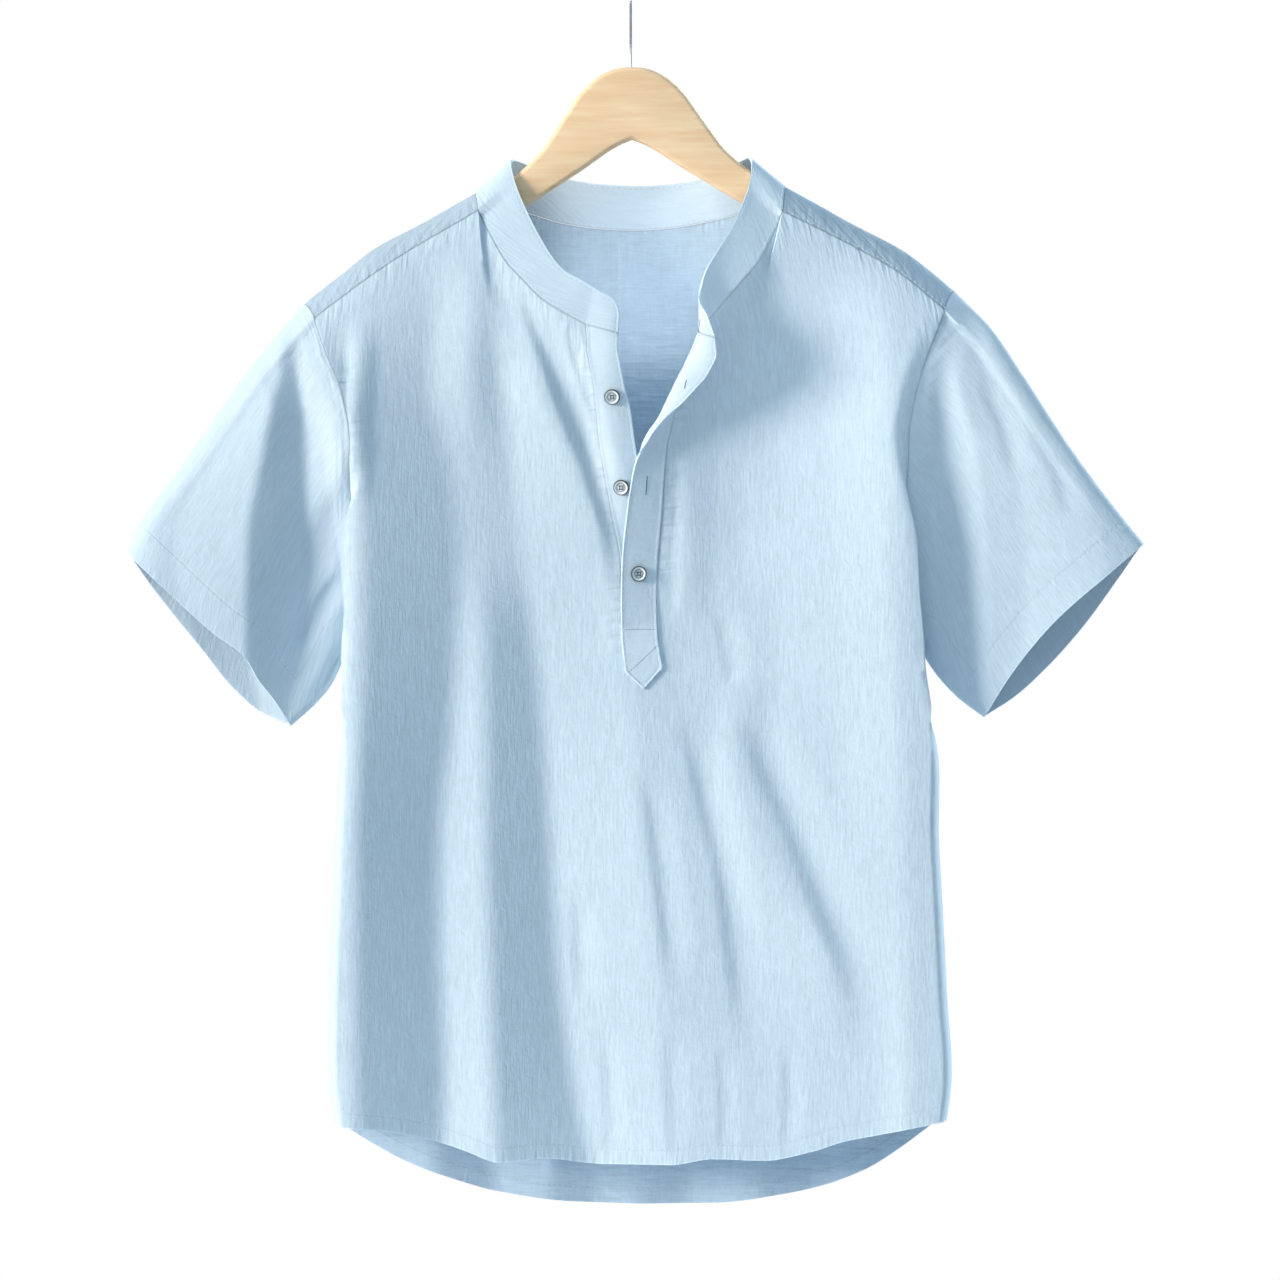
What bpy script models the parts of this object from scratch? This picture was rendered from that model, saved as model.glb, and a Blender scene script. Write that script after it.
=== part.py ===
"""Band-collar popover shirt with short sleeves, hanging on a flat wooden hanger.

Frame: X to the right, Y away from the front, Z up, with the origin at the inner top of the
hook, where the hanger rests on its rail. Every size below is in millimetres; the meshes are
made in metres. The cloth is cut as a front, a back, two sleeves, a collar band and the two
strips of a half placket. All of them are laid out as grids of points on one shared surface,
so that neighbours have the same points along a seam, and each grid then gets its thickness.
"""
import math

import bmesh
import bpy
import numpy as np
from mathutils import Matrix

MM = 0.001

# Driving sizes of the cloth.
WALL = 1.2               # one layer of cloth
BAND_WALL = 1.5          # interfaced double cloth of the collar band
PLACKET_WALL = 1.4       # folded double cloth of the placket strips
SEAM_GAP = 0.4           # between two pieces that are sewn together
FRONT_DEPTH = 33.0       # how far the front hangs before the hanger's middle plane
BACK_DEPTH = 31.0        # how far the back hangs behind it
RIDGE_RADIUS = 9.0       # roundness of the shoulder over the hanger's arm
NECK_RADIUS = 19.0       # the same behind the neck, where the band holds it open
EDGE_WIDTH = 22.0        # width of the rounded stretch along the side seams
UNDERARM = -501.0        # height of the underarm points
SLOT_LEFT = -4.2         # placket slot in the front, at its lower end
SLOT_RIGHT = 21.6

# Mesh counts.
EDGE_COLUMNS = 5
SHOULDER_COLUMNS = 5
NECK_COLUMNS = 7
SLOT_COLUMNS = 2
BACK_NECK_COLUMNS = 12
UPPER_ROWS = 12
LOWER_ROWS = 15
RIDGE_ROWS = 3
SLEEVE_COLUMNS = 10
BAND_ROWS = 3
PLACKET_COLUMNS = 6
TOWER_ROWS = 3

# Top of the shoulders, where the cloth turns over the hanger: x, z.
RIDGE = [(-247, -247.5), (-242.6, -243.6), (-217.6, -224), (-194.9, -206), (-157.8, -186.2),
         (-126, -168.2), (-117.7, -163.5), (0, -95), (117, -158.5), (134.4, -168),
         (168.4, -187), (205.5, -206.5), (229.7, -224.7), (245.4, -238), (251, -242)]
# Shoulder seam, set forward of the ridge, from the armhole to the neck: x, z.
SHOULDER_SEAM = {"left": [(-238.8, -258), (-182.8, -217.1), (-115.4, -177)],
                 "right": [(236.6, -251.9), (201.7, -223.5), (163.9, -202), (114.7, -177.7)]}
# Armhole in the front from the shoulder seam to the underarm: x, y, z.
ARMHOLE_FRONT = {
    "left": [(-238.8, -12.5, -258), (-230.5, -19, -282.2), (-218.4, -24, -312.5),
             (-212, -26, -342.8), (-211.6, -24, -367), (-210.8, -15, -395),
             (-208.6, -11, -429), (-208.6, -8, -463), (-209.4, -4, -485),
             (-210.8, 4, -501)],
    "right": [(236.6, -12.5, -251.9), (229.8, -17, -270), (222.2, -21, -289),
              (214.6, -22, -317), (210, -20, -342.8), (209.3, -15, -364.7),
              (207, -12, -395), (207.8, -10, -432.9), (211.6, -8, -465), (214.6, -4, -485),
              (216.9, 4, -501)]}
# Armhole in the back from behind the ridge to the underarm: x, y, z.
ARMHOLE_BACK = {
    "left": [(-245.6, 11.3, -258.4), (-243.5, 16, -276), (-238.1, 21, -304.2),
             (-230.5, 24, -342), (-224.5, 24, -380), (-219.2, 20, -417.7),
             (-213.9, 16, -463), (-211.6, 12, -485), (-210.8, 4, -501)],
    "right": [(245.4, 11.3, -250), (243.4, 16, -266), (236.6, 21, -298), (229, 24, -338),
              (223, 24, -378), (218.4, 20, -417.7), (216.6, 16, -463), (216.5, 12, -485),
              (216.9, 4, -501)]}
# Side seams from the underarm to the hem: x, z.
SIDE_SEAM = {"left": [(-210.8, -501), (-211.8, -520), (-214.5, -545), (-219.3, -580),
                      (-222.5, -630), (-225.2, -698), (-227.5, -760), (-227.5, -834),
                      (-223.9, -867.4)],
             "right": [(216.9, -501), (218, -520), (222, -545), (231, -580), (232.8, -650),
                       (236, -710), (239, -770), (241.9, -840), (238.8, -862.8)]}
# How far the body's edge rolls out over the armhole seam: z, roll.
EDGE_ROLL = {"left": [(-868, 0), (-610, 0), (-580, 3), (-546, 13), (-501, 17), (-463, 17),
                      (-429, 17), (-400, 11), (-385, 4), (-372, 0), (-258, 0)],
             "right": [(-868, 0), (-610, 0), (-580, 3), (-546, 13), (-501, 14), (-463, 16),
                       (-429, 18), (-395, 12), (-375, 6), (-362, 2), (-350, 0), (-252, 0)]}
# Curved hems, which drop lowest at the middle: x, z.
FRONT_HEM = [(-223.9, -867.4), (-184.3, -871.2), (-151.8, -878), (-125.3, -886.3),
             (-98, -895), (-66.2, -892.5), (-20, -897), (30, -897), (61.7, -892.5),
             (100, -893.5), (137.4, -886.3), (160.1, -879), (190, -873), (238.8, -862.8)]
BACK_HEM = [(-223.9, -867.4), (-198, -883.3), (-168.4, -896.1), (-135.1, -907.5),
            (-102.6, -917), (-40.1, -926), (12.5, -928), (61.7, -926.5), (110.9, -919.5),
            (143.5, -913), (176.8, -900.7), (202.5, -886.3), (238.8, -862.8)]
# Neckline of the front, from the shoulder seam to the placket: x, y, z.
NECKLINE = {"left": [(-115.4, -10, -177), (-105.6, -16, -195.9), (-94.2, -21, -215.6),
                     (-80.6, -26, -230.7), (-67, -30, -244.4), (-51.9, -33, -254.2),
                     (-33.7, -35, -264)],
            "right": [(114.7, -10.5, -177.7), (104.8, -17, -199.7), (95, -23, -217.1),
                      (83.6, -29, -230.7), (70, -36, -246.6), (62.5, -42, -255.7),
                      (55.5, -50, -263), (51.5, -57, -268), (52.6, -62, -271)]}
# Neckline of the back, from behind the left ridge round to the right: x, y, z.
BACK_NECK = [(-113, 12, -170.5), (-98, 22, -172.5), (-78.4, 28, -176), (-57.2, 32, -182.3),
             (-28.4, 34, -187), (0, 35, -188.5), (29.9, 34, -187), (58.7, 32, -182.3),
             (77.6, 28, -178), (97, 22, -170), (112.5, 12, -166)]
# Left edge of the placket slot, which is the under strip's seam, and its free edge: z, x.
UNDER_SEAM = [(-501, -4.2), (-470.7, -6.5), (-440.4, -8), (-406, -14.5), (-387.5, -17.8),
              (-371.3, -20.5), (-345, -24.6), (-326, -26.1), (-305.7, -28.4), (-282.2, -32.9),
              (-264, -33.7)]
UNDER_FREE = [(-501, 11.5), (-440.4, 10.5), (-402, 9), (-380, 7.5), (-362.5, 4.9),
              (-347, 2.6), (-327.6, 0), (-311.3, -4.2), (-295.9, -7.2), (-279.5, -9.7),
              (-270.9, -9)]
# Over strip of the placket. Its lower part is buttoned flat, its upper part is turned out:
# z, then x and how far it stands forward, at the seam, at the fold between, at the free edge.
OVER_STRIP = [
    (-501.0, 21.6, 0, 7.2, 3.5, -7.2, 2.4),
    (-470.7, 18.8, 0, 5.5, 3.6, -7.9, 2.6),
    (-440.4, 20.8, 0, 7.0, 3.6, -6.8, 2.6),
    (-406.4, 24.2, 0, 10.4, 3.6, -3.4, 3.0),
    (-380.6, 25.4, 0, 12.5, 3.6, 0.4, 5.0),
    (-364.7, 26.5, 1, 9.0, 4, 4.5, 9),
    (-354.1, 27.6, 2, 1.5, 6, 11.7, 14),
    (-344.3, 29.9, 3, 6.0, 8, 17.8, 18),
    (-333.7, 32.2, 5, 13.5, 10, 26.9, 24),
    (-323.9, 35.2, 8, 15.5, 15, 38.2, 30),
    (-313.3, 37.2, 12, 21.0, 20, 48.1, 36),
    (-301.9, 38.8, 20, 30.0, 32, 57.9, 42),
    (-284.5, 47.0, 31, 50.0, 41, 64.4, 46),
    (-271.0, 52.6, 40, 55.5, 46, 63.2, 49)]
TOWER_TIP = (10.0, -538.1)       # point of the placket below the slot: x, z
TOWER_SHOULDERS = ((-4.2, -525.2), (24.4, -522.2))
TOWER_LIFT = 2.3                 # the placket's point lies on the front
# Upper edge of the collar band from its left end round to its right end: x, y, z.
BAND_TOP = [(-8.1, -36, -255.7), (-10.2, -35, -248.2), (-14.8, -34, -243.6),
            (-21, -33, -240.4), (-27, -31.5, -236.8), (-36, -30, -230.7), (-49.6, -27, -223.2),
            (-59.4, -24, -211.8), (-68.9, -20, -195.9), (-78.4, -16, -177),
            (-87.5, -10, -154), (-90.3, -2, -139), (-84, 12, -138), (-70, 20, -144),
            (-45.8, 26, -150.5), (0, 29, -155), (45.8, 26, -151.7), (70, 20, -144),
            (84, 12, -137.5), (90.5, -2, -137), (89.5, -10, -156), (84.4, -16, -170.9),
            (76.1, -22, -190.6), (64.3, -30, -209.5), (55.6, -38, -225.1),
            (52.8, -45, -234.5), (51.5, -52, -242.1), (53.0, -59, -249.5),
            (57.2, -65, -256.5)]
# Rows of that table which stand opposite a seam of the body, in the order of the band's run.
BAND_STATIONS = {"placket_left": 4, "neck_left": 10, "behind_left": 12, "behind_right": 18,
                 "neck_right": 20, "placket_right": 26}

# Soft folds of the hanging cloth. Each row is the line of one crest or hollow, with its x and
# how far the cloth sinks towards the middle plane, at each of the heights on the first line.
FRONT_FOLD_HEIGHTS = (-205, -282, -350, -418, -501, -622, -743, -857)
FRONT_FOLDS = {
    "left roll":      [(-190, 0), (-204, 0), (-207, 0), (-209, 0), (-211, 0), (-212, 0), (-213, 0), (-211, 0)],
    "left hollow":    [(-150, 0), (-152, 3), (-144, 7), (-139, 11), (-137, 12), (-140, 13), (-142, 12), (-147, 9)],
    "left crest":     [(-121, 0), (-121, -1), (-119, 4), (-115, 10), (-112, 11), (-108, 11), (-105, 7), (-106, 5)],
    "second hollow":  [(-99, 0), (-99, 3), (-97, 7), (-86, 12), (-68, 17), (-58, 17), (-49, 15), (-38, 15)],
    "slanted crest":  [(-80, 0), (-80, -2), (-60, 1), (-31, 8), (-14, 14), (-6, 13), (7, 12), (22, 12)],
    "by the placket": [(-60, 0), (-57, 3), (-31, 6), (-12, 11), (15, 15), (30, 13), (50, 11), (60, 12)],
    "middle":         [(40, 2), (45, 6), (45, 9), (45, 12), (45, 14), (62, 12), (80, 10), (88, 10)],
    "right crest":    [(98, 2), (100, 6), (104, 9), (104, 12), (100, 12), (103, 8), (128, 6), (155, 6)],
    "right hollow":   [(130, 2), (130, 6), (130, 8), (130, 10), (124, 11), (140, 10), (162, 7), (176, 6)],
    "right roll":     [(180, 0), (188, 0), (192, 0), (195, 0), (198, 0), (203, 0), (206, 0), (206, 0)]}
BACK_FOLD_HEIGHTS = (-205, -330, -430, -501, -622, -743, -910)
BACK_FOLDS = {
    "left roll":     [(-190, 0), (-204, 0), (-207, 0), (-209, 0), (-211, 0), (-212, 0), (-211, 0)],
    "left hollow":   [(-160, 0), (-160, 5), (-158, 9), (-156, 11), (-152, 12), (-150, 12), (-148, 10)],
    "left crest":    [(-118, 0), (-118, 2), (-117, 4), (-116, 5), (-112, 4), (-108, 3), (-104, 2)],
    "inner hollow":  [(-70, 0), (-68, 4), (-66, 8), (-64, 10), (-62, 11), (-60, 10), (-62, 8)],
    "pleat left":    [(-20, 0), (-22, 2), (-26, 5), (-28, 6), (-30, 5), (-28, 4), (-26, 3)],
    "pleat middle":  [(-6, 3), (-6, 4), (-4, 7), (-2, 8), (2, 8), (6, 7), (8, 6)],
    "pleat right":   [(12, 0), (16, 2), (24, 5), (28, 6), (34, 4), (38, 3), (42, 2)],
    "outer hollow":  [(70, 0), (74, 4), (78, 8), (82, 10), (86, 12), (90, 12), (94, 9)],
    "right crest":   [(120, 0), (124, 3), (128, 6), (130, 7), (134, 6), (138, 4), (140, 3)],
    "right hollow":  [(160, 0), (162, 5), (164, 9), (166, 11), (170, 11), (174, 10), (176, 7)],
    "right roll":    [(180, 0), (192, 0), (198, 0), (202, 0), (206, 0), (208, 0), (206, 0)]}

# Sleeves. The fold along the top runs from the shoulder to the cuff: x, z.
SLEEVE_TOP = {"left": [(-247, -247.5), (-278, -283), (-305, -319.5), (-344, -376), (-371, -413),
                       (-380.8, -435.5)],
              "right": [(247, -239.5), (272, -265), (297, -300), (340, -358), (379, -410),
                        (388, -428.3)]}
SLEEVE_UNDER = {"left": [(-210.8, -501), (-218.2, -517), (-228.5, -537), (-240, -550.2),
                         (-257.3, -565.8)],
                "right": [(216.9, -501), (225.5, -518), (246.8, -543.4), (267.6, -559.3)]}
CUFF_FRONT = {"left": [(-380.8, -435.5), (-349.4, -465), (-314.5, -496.4), (-290, -515.5),
                       (-281, -531.3), (-269.5, -546.4), (-257.3, -565.8)],
              "right": [(388, -428.3), (363, -449.5), (319, -488.5), (293.3, -519.1),
                        (278.9, -540.3), (267.6, -559.3)]}
CUFF_BACK = {"left": [(-380.8, -435.5), (-366.8, -456.3), (-349.4, -479), (-323.6, -507),
                      (-297.1, -534.3), (-276.7, -551.7), (-257.3, -565.8)],
             "right": [(388, -428.3), (369.8, -455.2), (341, -494.2), (316, -521.8),
                       (290.3, -544.9), (267.6, -559.3)]}
CUFF_DEPTH = {"front": 17.0, "back": 16.0}
SLEEVE_FOLD_HEIGHTS = (-262, -300, -357, -433, -509, -550)
SLEEVE_FOLDS = {
    "left": {
        "outer":  [(-262, 0), (-290, 0), (-322, 3), (-345, 4), (-330, 3), (-300, 2)],
        "crest":  [(-262, 0), (-268, -3), (-279, -8), (-293, -9), (-291, -7), (-283, -4)],
        "hollow": [(-250, 0), (-249, 2), (-246, 6), (-248, 7), (-268, 7), (-270, 4)],
        "inner":  [(-238, 0), (-232, 0), (-225, 2), (-228, 1), (-240, 1), (-255, 0)]},
    "right": {
        "inner":  [(236, 0), (230, 2), (222, 4), (224, 6), (230, 5), (240, 2)],
        "hollow": [(240, 0), (229, 3), (243, 8), (249, 10), (254, 8), (258, 3)],
        "crest":  [(250, 0), (252, -5), (262, -7), (271, -6), (272, -5), (272, -2)],
        "outer":  [(262, 0), (286, 1), (305, 3), (312, 4), (300, 2), (285, 0)]}}

# Hanger: one flat piece of wood. Upper and lower outline from the middle outwards: x, z.
HANGER_THICK = 12.0
HANGER_ROUND = 3.6
HANGER_TILT = math.radians(1.1)
HANGER_TOP = [(0, -67.6), (12, -68.9), (22, -73), (30, -78.5), (36, -84), (42, -91),
              (47.5, -99), (59, -116), (69.5, -130.5), (78, -139), (87, -146.2),
              (102, -156.2), (118, -166.2), (135, -176.4), (163, -192.6), (195, -210),
              (209, -219.5)]
HANGER_UNDER = [(209, -236), (195, -229.5), (163, -213.5), (118, -192), (81, -171.2),
                (40, -145.8), (6, -124.6), (0, -122.4)]
HANGER_END = (214.5, -227.0)     # outermost point of an arm
# Hook: steel wire, seen edge-on from the front, so its bends lie in the Y-Z plane.
WIRE_RADIUS = 0.9
HOOK_RADIUS = 19.0               # middle of the wire to the middle of the crook
SHANK_DEPTH = 15.0               # how far the wire goes into the wood
SHANK_CLEAR = 0.35
# Buttons: the three along the placket: x, z, and the strip each lies on.
BUTTON_RADIUS = 6.0
BUTTON_THICK = 2.3
BUTTON_PLACES = [(-13.9, -318.0, "under"), (-6.9, -385.7, "under"), (5.7, -451.0, "over")]


def smooth(t):
    """Soft step from 0 to 1."""
    t = np.clip(t, 0, 1)
    return t * t * (3 - 2 * t)


def even_slopes(knots, values):
    """Slopes at the knots which keep the curve from swinging past its values."""
    steps = np.diff(values) / np.diff(knots)
    before, after = steps[:-1], steps[1:]
    total = np.where(before * after > 0, before + after, 1)
    inner = np.where(before * after > 0, 2 * before * after / total, 0)
    return np.concatenate((steps[:1], inner, steps[-1:]))


def cubic(knots, values, where):
    """Read a smooth curve through values at rising knots."""
    knots = np.asarray(knots, float)
    values = np.asarray(values, float)
    where = np.clip(where, knots[0], knots[-1])
    if values.ndim > 1:
        slopes = np.gradient(values, knots, axis=0)
    else:
        slopes = even_slopes(knots, values)
    k = np.clip(np.searchsorted(knots, where, side="right") - 1, 0, len(knots) - 2)
    span = knots[k + 1] - knots[k]
    t = (where - knots[k]) / span
    if values.ndim > 1:
        span = span[..., None]
        t = t[..., None]
    return (values[k] * (1 + 2 * t) * (1 - t) ** 2 + values[k + 1] * t * t * (3 - 2 * t)
            + slopes[k] * span * t * (1 - t) ** 2 - slopes[k + 1] * span * t * t * (1 - t))


def along(points, fractions):
    """Points at these fractions of the length of a smooth curve through the given points."""
    points = np.asarray(points, float)
    steps = np.linalg.norm(np.diff(points, axis=0), axis=1)
    knots = np.concatenate(([0], np.cumsum(steps))) / steps.sum()
    return cubic(knots, points, np.asarray(fractions, float))


def by_height(table, z, z_column=1, column=0):
    """Read one column of a table at the heights z."""
    rows = sorted(table, key=lambda row: row[z_column])
    return cubic([row[z_column] for row in rows], [row[column] for row in rows], z)


def by_width(table, x):
    """Read the height of a table of x, z at the places x."""
    return cubic([row[0] for row in table], [row[1] for row in table], x)


def hang(x, z, depth, radius):
    """Distance from the middle plane of cloth that falls from the ridge of the shoulders."""
    drop = np.maximum(by_width(RIDGE, x) - z, 0)
    return depth * (1 - np.exp(-np.sqrt(2 * radius * drop) / depth))


def fold_depth(folds, heights, x, z):
    """How far the cloth sinks at x, z, read between the lines of crests and hollows."""
    order = np.argsort(heights)
    knots = np.asarray(heights, float)[order]
    lines = [np.asarray(row, float)[order] for row in folds.values()]
    places = [cubic(knots, line[:, 0], z) for line in lines]
    sinks = [cubic(knots, line[:, 1], z) for line in lines]
    result = sinks[0] + 0 * x
    for k in range(len(lines) - 1):
        step = smooth((x - places[k]) / np.maximum(places[k + 1] - places[k], 1))
        result = result + (sinks[k + 1] - sinks[k]) * step
    return result


def front_y(x, z):
    """Depth of the front's surface."""
    x = np.asarray(x, float)
    z = np.asarray(z, float)
    sink = fold_depth(FRONT_FOLDS, FRONT_FOLD_HEIGHTS, x, z)
    return sink - hang(x, z, FRONT_DEPTH, RIDGE_RADIUS)


def back_y(x, z):
    """Depth of the back's surface."""
    x = np.asarray(x, float)
    z = np.asarray(z, float)
    radius = RIDGE_RADIUS + (NECK_RADIUS - RIDGE_RADIUS) * smooth((185 - np.abs(x)) / 65)
    sink = fold_depth(BACK_FOLDS, BACK_FOLD_HEIGHTS, x, z)
    return hang(x, z, BACK_DEPTH, radius) - sink


def edge_fade(distance, width, round_share):
    """1 at an edge, 0 beyond the width: a round turn for a share of 1, a soft one for 0."""
    t = np.clip(distance / width, 0, 1)
    round_turn = 1 - np.sqrt(np.maximum(1 - (1 - t) ** 2, 0))
    soft_turn = (1 - t) ** 2
    return round_turn * round_share + soft_turn * (1 - round_share)


def edge_steps():
    """Distances of the columns in the rounded stretch from its seam."""
    turn = np.linspace(0, math.pi / 2, EDGE_COLUMNS + 1)
    return EDGE_WIDTH * (1 - np.cos(turn))


def join(*runs):
    """One run of points or numbers from several that share their end points."""
    return np.concatenate([runs[0]] + [run[1:] for run in runs[1:]])


def half_row(outer, inner, side):
    """Places across one half of the body at the underarm, from the seam to the slot."""
    sign = 1 if side == "left" else -1
    near = outer + sign * edge_steps()
    rest = np.linspace(near[-1], inner, SHOULDER_COLUMNS + NECK_COLUMNS + 1)
    return join(near, rest)


def upper_fractions():
    """Heights of the rows above the underarm, closer together near it."""
    return np.linspace(0, 1, UPPER_ROWS + 1) ** 1.15


def coons(bottom, top, first, last, u, v):
    """Points of a patch between four curves. u runs along the rows, v up the columns."""
    u = u[None, :, None]
    v = v[:, None, None]
    ruled = (1 - u) * first[:, None] + u * last[:, None] + (1 - v) * bottom + v * top
    corners = ((1 - u) * (1 - v) * bottom[0] + u * (1 - v) * bottom[-1]
               + (1 - u) * v * top[0] + u * v * top[-1])
    return ruled - corners


def share(values):
    """Place of each value between the first and the last, as 0 to 1."""
    return (values - values[0]) / (values[-1] - values[0])


def shoulder_line(side):
    """Points of the shoulder seam from the armhole to the neck."""
    seam = np.array(SHOULDER_SEAM[side], float)
    length = np.linalg.norm(np.diff(seam, axis=0), axis=1).sum()
    near = edge_steps() / length
    rest = np.linspace(near[-1], 1, SHOULDER_COLUMNS + 1)
    places = along(seam, join(near, rest))
    depth = -hang(places[:, 0], places[:, 1], FRONT_DEPTH, RIDGE_RADIUS)
    return np.column_stack((places[:, 0], depth, places[:, 1]))


def side_seam(side):
    """Points of a side seam from the underarm to the hem."""
    rows = np.linspace(0, 1, LOWER_ROWS + 1)
    places = along(SIDE_SEAM[side], rows)
    return np.column_stack((places[:, 0], 4 * (1 - smooth(rows * 4)), places[:, 1]))


def slot_edge(side):
    """Points of the placket slot's edge from its lower end to the neckline."""
    rows = upper_fractions()
    if side == "left":
        top = np.array(NECKLINE["left"][-1], float)
        z = UNDERARM + (top[2] - UNDERARM) * rows
        x = by_height(UNDER_SEAM, z, 0, 1)
        forward = (front_y(top[0], top[2]) - top[1]) * smooth(1 - (top[2] - z) / 80)
    else:
        top = np.array(NECKLINE["right"][-1], float)
        z = UNDERARM + (top[2] - UNDERARM) * rows
        x = by_height(OVER_STRIP, z, 0, 1)
        forward = by_height(OVER_STRIP, z, 0, 2)
        forward = forward + (front_y(top[0], top[2]) - top[1] - forward[-1]) * smooth(rows * 4 - 3)
    points = np.column_stack((x, front_y(x, z) - forward, z))
    points[-1] = top
    return points


def roll_out(side, z, distance):
    """How far the body's edge stands out sideways at this distance from the seam."""
    roll = by_height(EDGE_ROLL[side], z, 0, 1)
    return roll * np.sin(np.pi * np.clip(distance / EDGE_WIDTH, 0, 1)) ** 2


def front_upper(side):
    """Half of the front above the underarm, rows from the bottom, columns from the left."""
    sign = 1 if side == "left" else -1
    armhole = along(ARMHOLE_FRONT[side], 1 - upper_fractions())
    slot = slot_edge(side)
    places = half_row(armhole[0, 0], SLOT_LEFT if side == "left" else SLOT_RIGHT, side)
    neck_column = EDGE_COLUMNS + SHOULDER_COLUMNS
    neckline = along(NECKLINE[side], 1 - np.linspace(1, 0, NECK_COLUMNS + 1) ** 1.3)
    top = join(shoulder_line(side), neckline)
    top[neck_column] = shoulder_line(side)[-1]
    bottom = np.column_stack((places, 0 * places, np.full(len(places), UNDERARM)))
    u = share(places)
    v = upper_fractions()
    points = coons(bottom, top, armhole, slot, u, v)
    x, z = points[..., 0], points[..., 2]
    out = np.abs(x - armhole[:, 0][:, None])
    roundness = smooth(1.6 - 2.2 * v)[:, None]
    at_armhole = (armhole[:, 1] - front_y(armhole[:, 0], armhole[:, 2]))[:, None]
    at_slot = (slot[:, 1] - front_y(slot[:, 0], slot[:, 2]))[:, None]
    to_slot = np.abs(x - slot[:, 0][:, None])
    y = (front_y(x, z) + at_armhole * edge_fade(out, EDGE_WIDTH, roundness)
         + at_slot * edge_fade(to_slot, 55, 0))
    miss = top[:, 1] - y[-1]
    y = y + miss[None, :] * smooth(1 - (top[:, 2][None, :] - z) / 75)
    shift = -sign * roll_out(side, z, out)
    points[..., 0] = x + shift
    points[..., 1] = y
    points[:, 0] = armhole
    points[:, -1] = slot
    points[-1] = top
    return points if side == "left" else points[:, ::-1]


def lower(surface, hem, row):
    """Body below the underarm, rows from the underarm down, columns from the left."""
    left, right = side_seam("left"), side_seam("right")
    inner_left = left[:, 0] + EDGE_WIDTH
    inner_right = right[:, 0] - EDGE_WIDTH
    middle = row[EDGE_COLUMNS:-EDGE_COLUMNS]
    spread = share(middle)
    x = np.hstack((left[:, 0][:, None] + edge_steps()[None, :-1],
                   inner_left[:, None] + (inner_right - inner_left)[:, None] * spread,
                   right[:, 0][:, None] - edge_steps()[None, -2::-1]))
    fraction = np.linspace(0, 1, LOWER_ROWS + 1)[:, None]
    seam_z = left[:, 2][:, None] * (1 - share(x[0])) + right[:, 2][:, None] * share(x[0])
    depth = by_width(hem, x) - (left[-1, 2] * (1 - share(x[0])) + right[-1, 2] * share(x[0]))
    z = seam_z + depth * fraction ** 2
    y = surface(x, z)
    for side, seam, sign in (("left", left, 1), ("right", right, -1)):
        out = np.abs(x - seam[:, 0][:, None])
        miss = (seam[:, 1] - surface(seam[:, 0], seam[:, 2]))[:, None]
        y = y + miss * edge_fade(out, EDGE_WIDTH, 1)
        if surface is front_y:
            x = x - sign * roll_out(side, z, out)
    points = np.stack((x, y, z), axis=-1)
    points[:, 0] = left
    points[:, -1] = right
    return points


def front_grids():
    """The front: below the underarm, and either side of the placket slot above it."""
    upper_left = front_upper("left")
    upper_right = front_upper("right")
    slot = np.linspace(SLOT_LEFT, SLOT_RIGHT, SLOT_COLUMNS + 1)
    row = join(half_row(ARMHOLE_FRONT["left"][-1][0], SLOT_LEFT, "left"), slot,
               half_row(ARMHOLE_FRONT["right"][-1][0], SLOT_RIGHT, "right")[::-1])
    body = lower(front_y, FRONT_HEM, row)
    columns = upper_left.shape[1]
    upper_left[0] = body[0, :columns]
    upper_right[0] = body[0, -columns:]
    return body[::-1], upper_left, upper_right


def shoulder_wrap(side):
    """Cloth over the hanger's arm: rows from behind the ridge to the shoulder seam."""
    seam = shoulder_line(side)
    sign = -1 if side == "left" else 1
    behind_armhole = np.array(ARMHOLE_BACK[side][0], float)
    behind_neck = np.array(BACK_NECK[0] if side == "left" else BACK_NECK[-1], float)
    ridge_x = seam[:, 0] + sign * 6 * share(seam[:, 0])[::-1] + sign * 2.3
    ridge_z = by_width(RIDGE, ridge_x)
    rows = []
    for k in range(-RIDGE_ROWS, RIDGE_ROWS + 1):
        part = abs(k) / RIDGE_ROWS
        if k <= 0:
            t = share(seam[:, 0])
            end_x = behind_armhole[0] * (1 - t) + behind_neck[0] * t
            end_y = behind_armhole[1] * (1 - t) + behind_neck[1] * t
            end_drop = by_width(RIDGE, end_x) - (behind_armhole[2] + (behind_neck[2]
                                                 - behind_armhole[2]) * t)
            end_drop = end_drop[0] * (1 - t) + end_drop[-1] * t
            end = np.column_stack((end_x, end_y, by_width(RIDGE, end_x) - end_drop))
        else:
            end = seam
        ridge = np.column_stack((ridge_x, 0 * ridge_x, ridge_z))
        point = ridge + (end - ridge) * part
        point[:, 2] = ridge_z + (end[:, 2] - ridge_z) * part ** 2
        rows.append(point)
    return np.array(rows)


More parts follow.
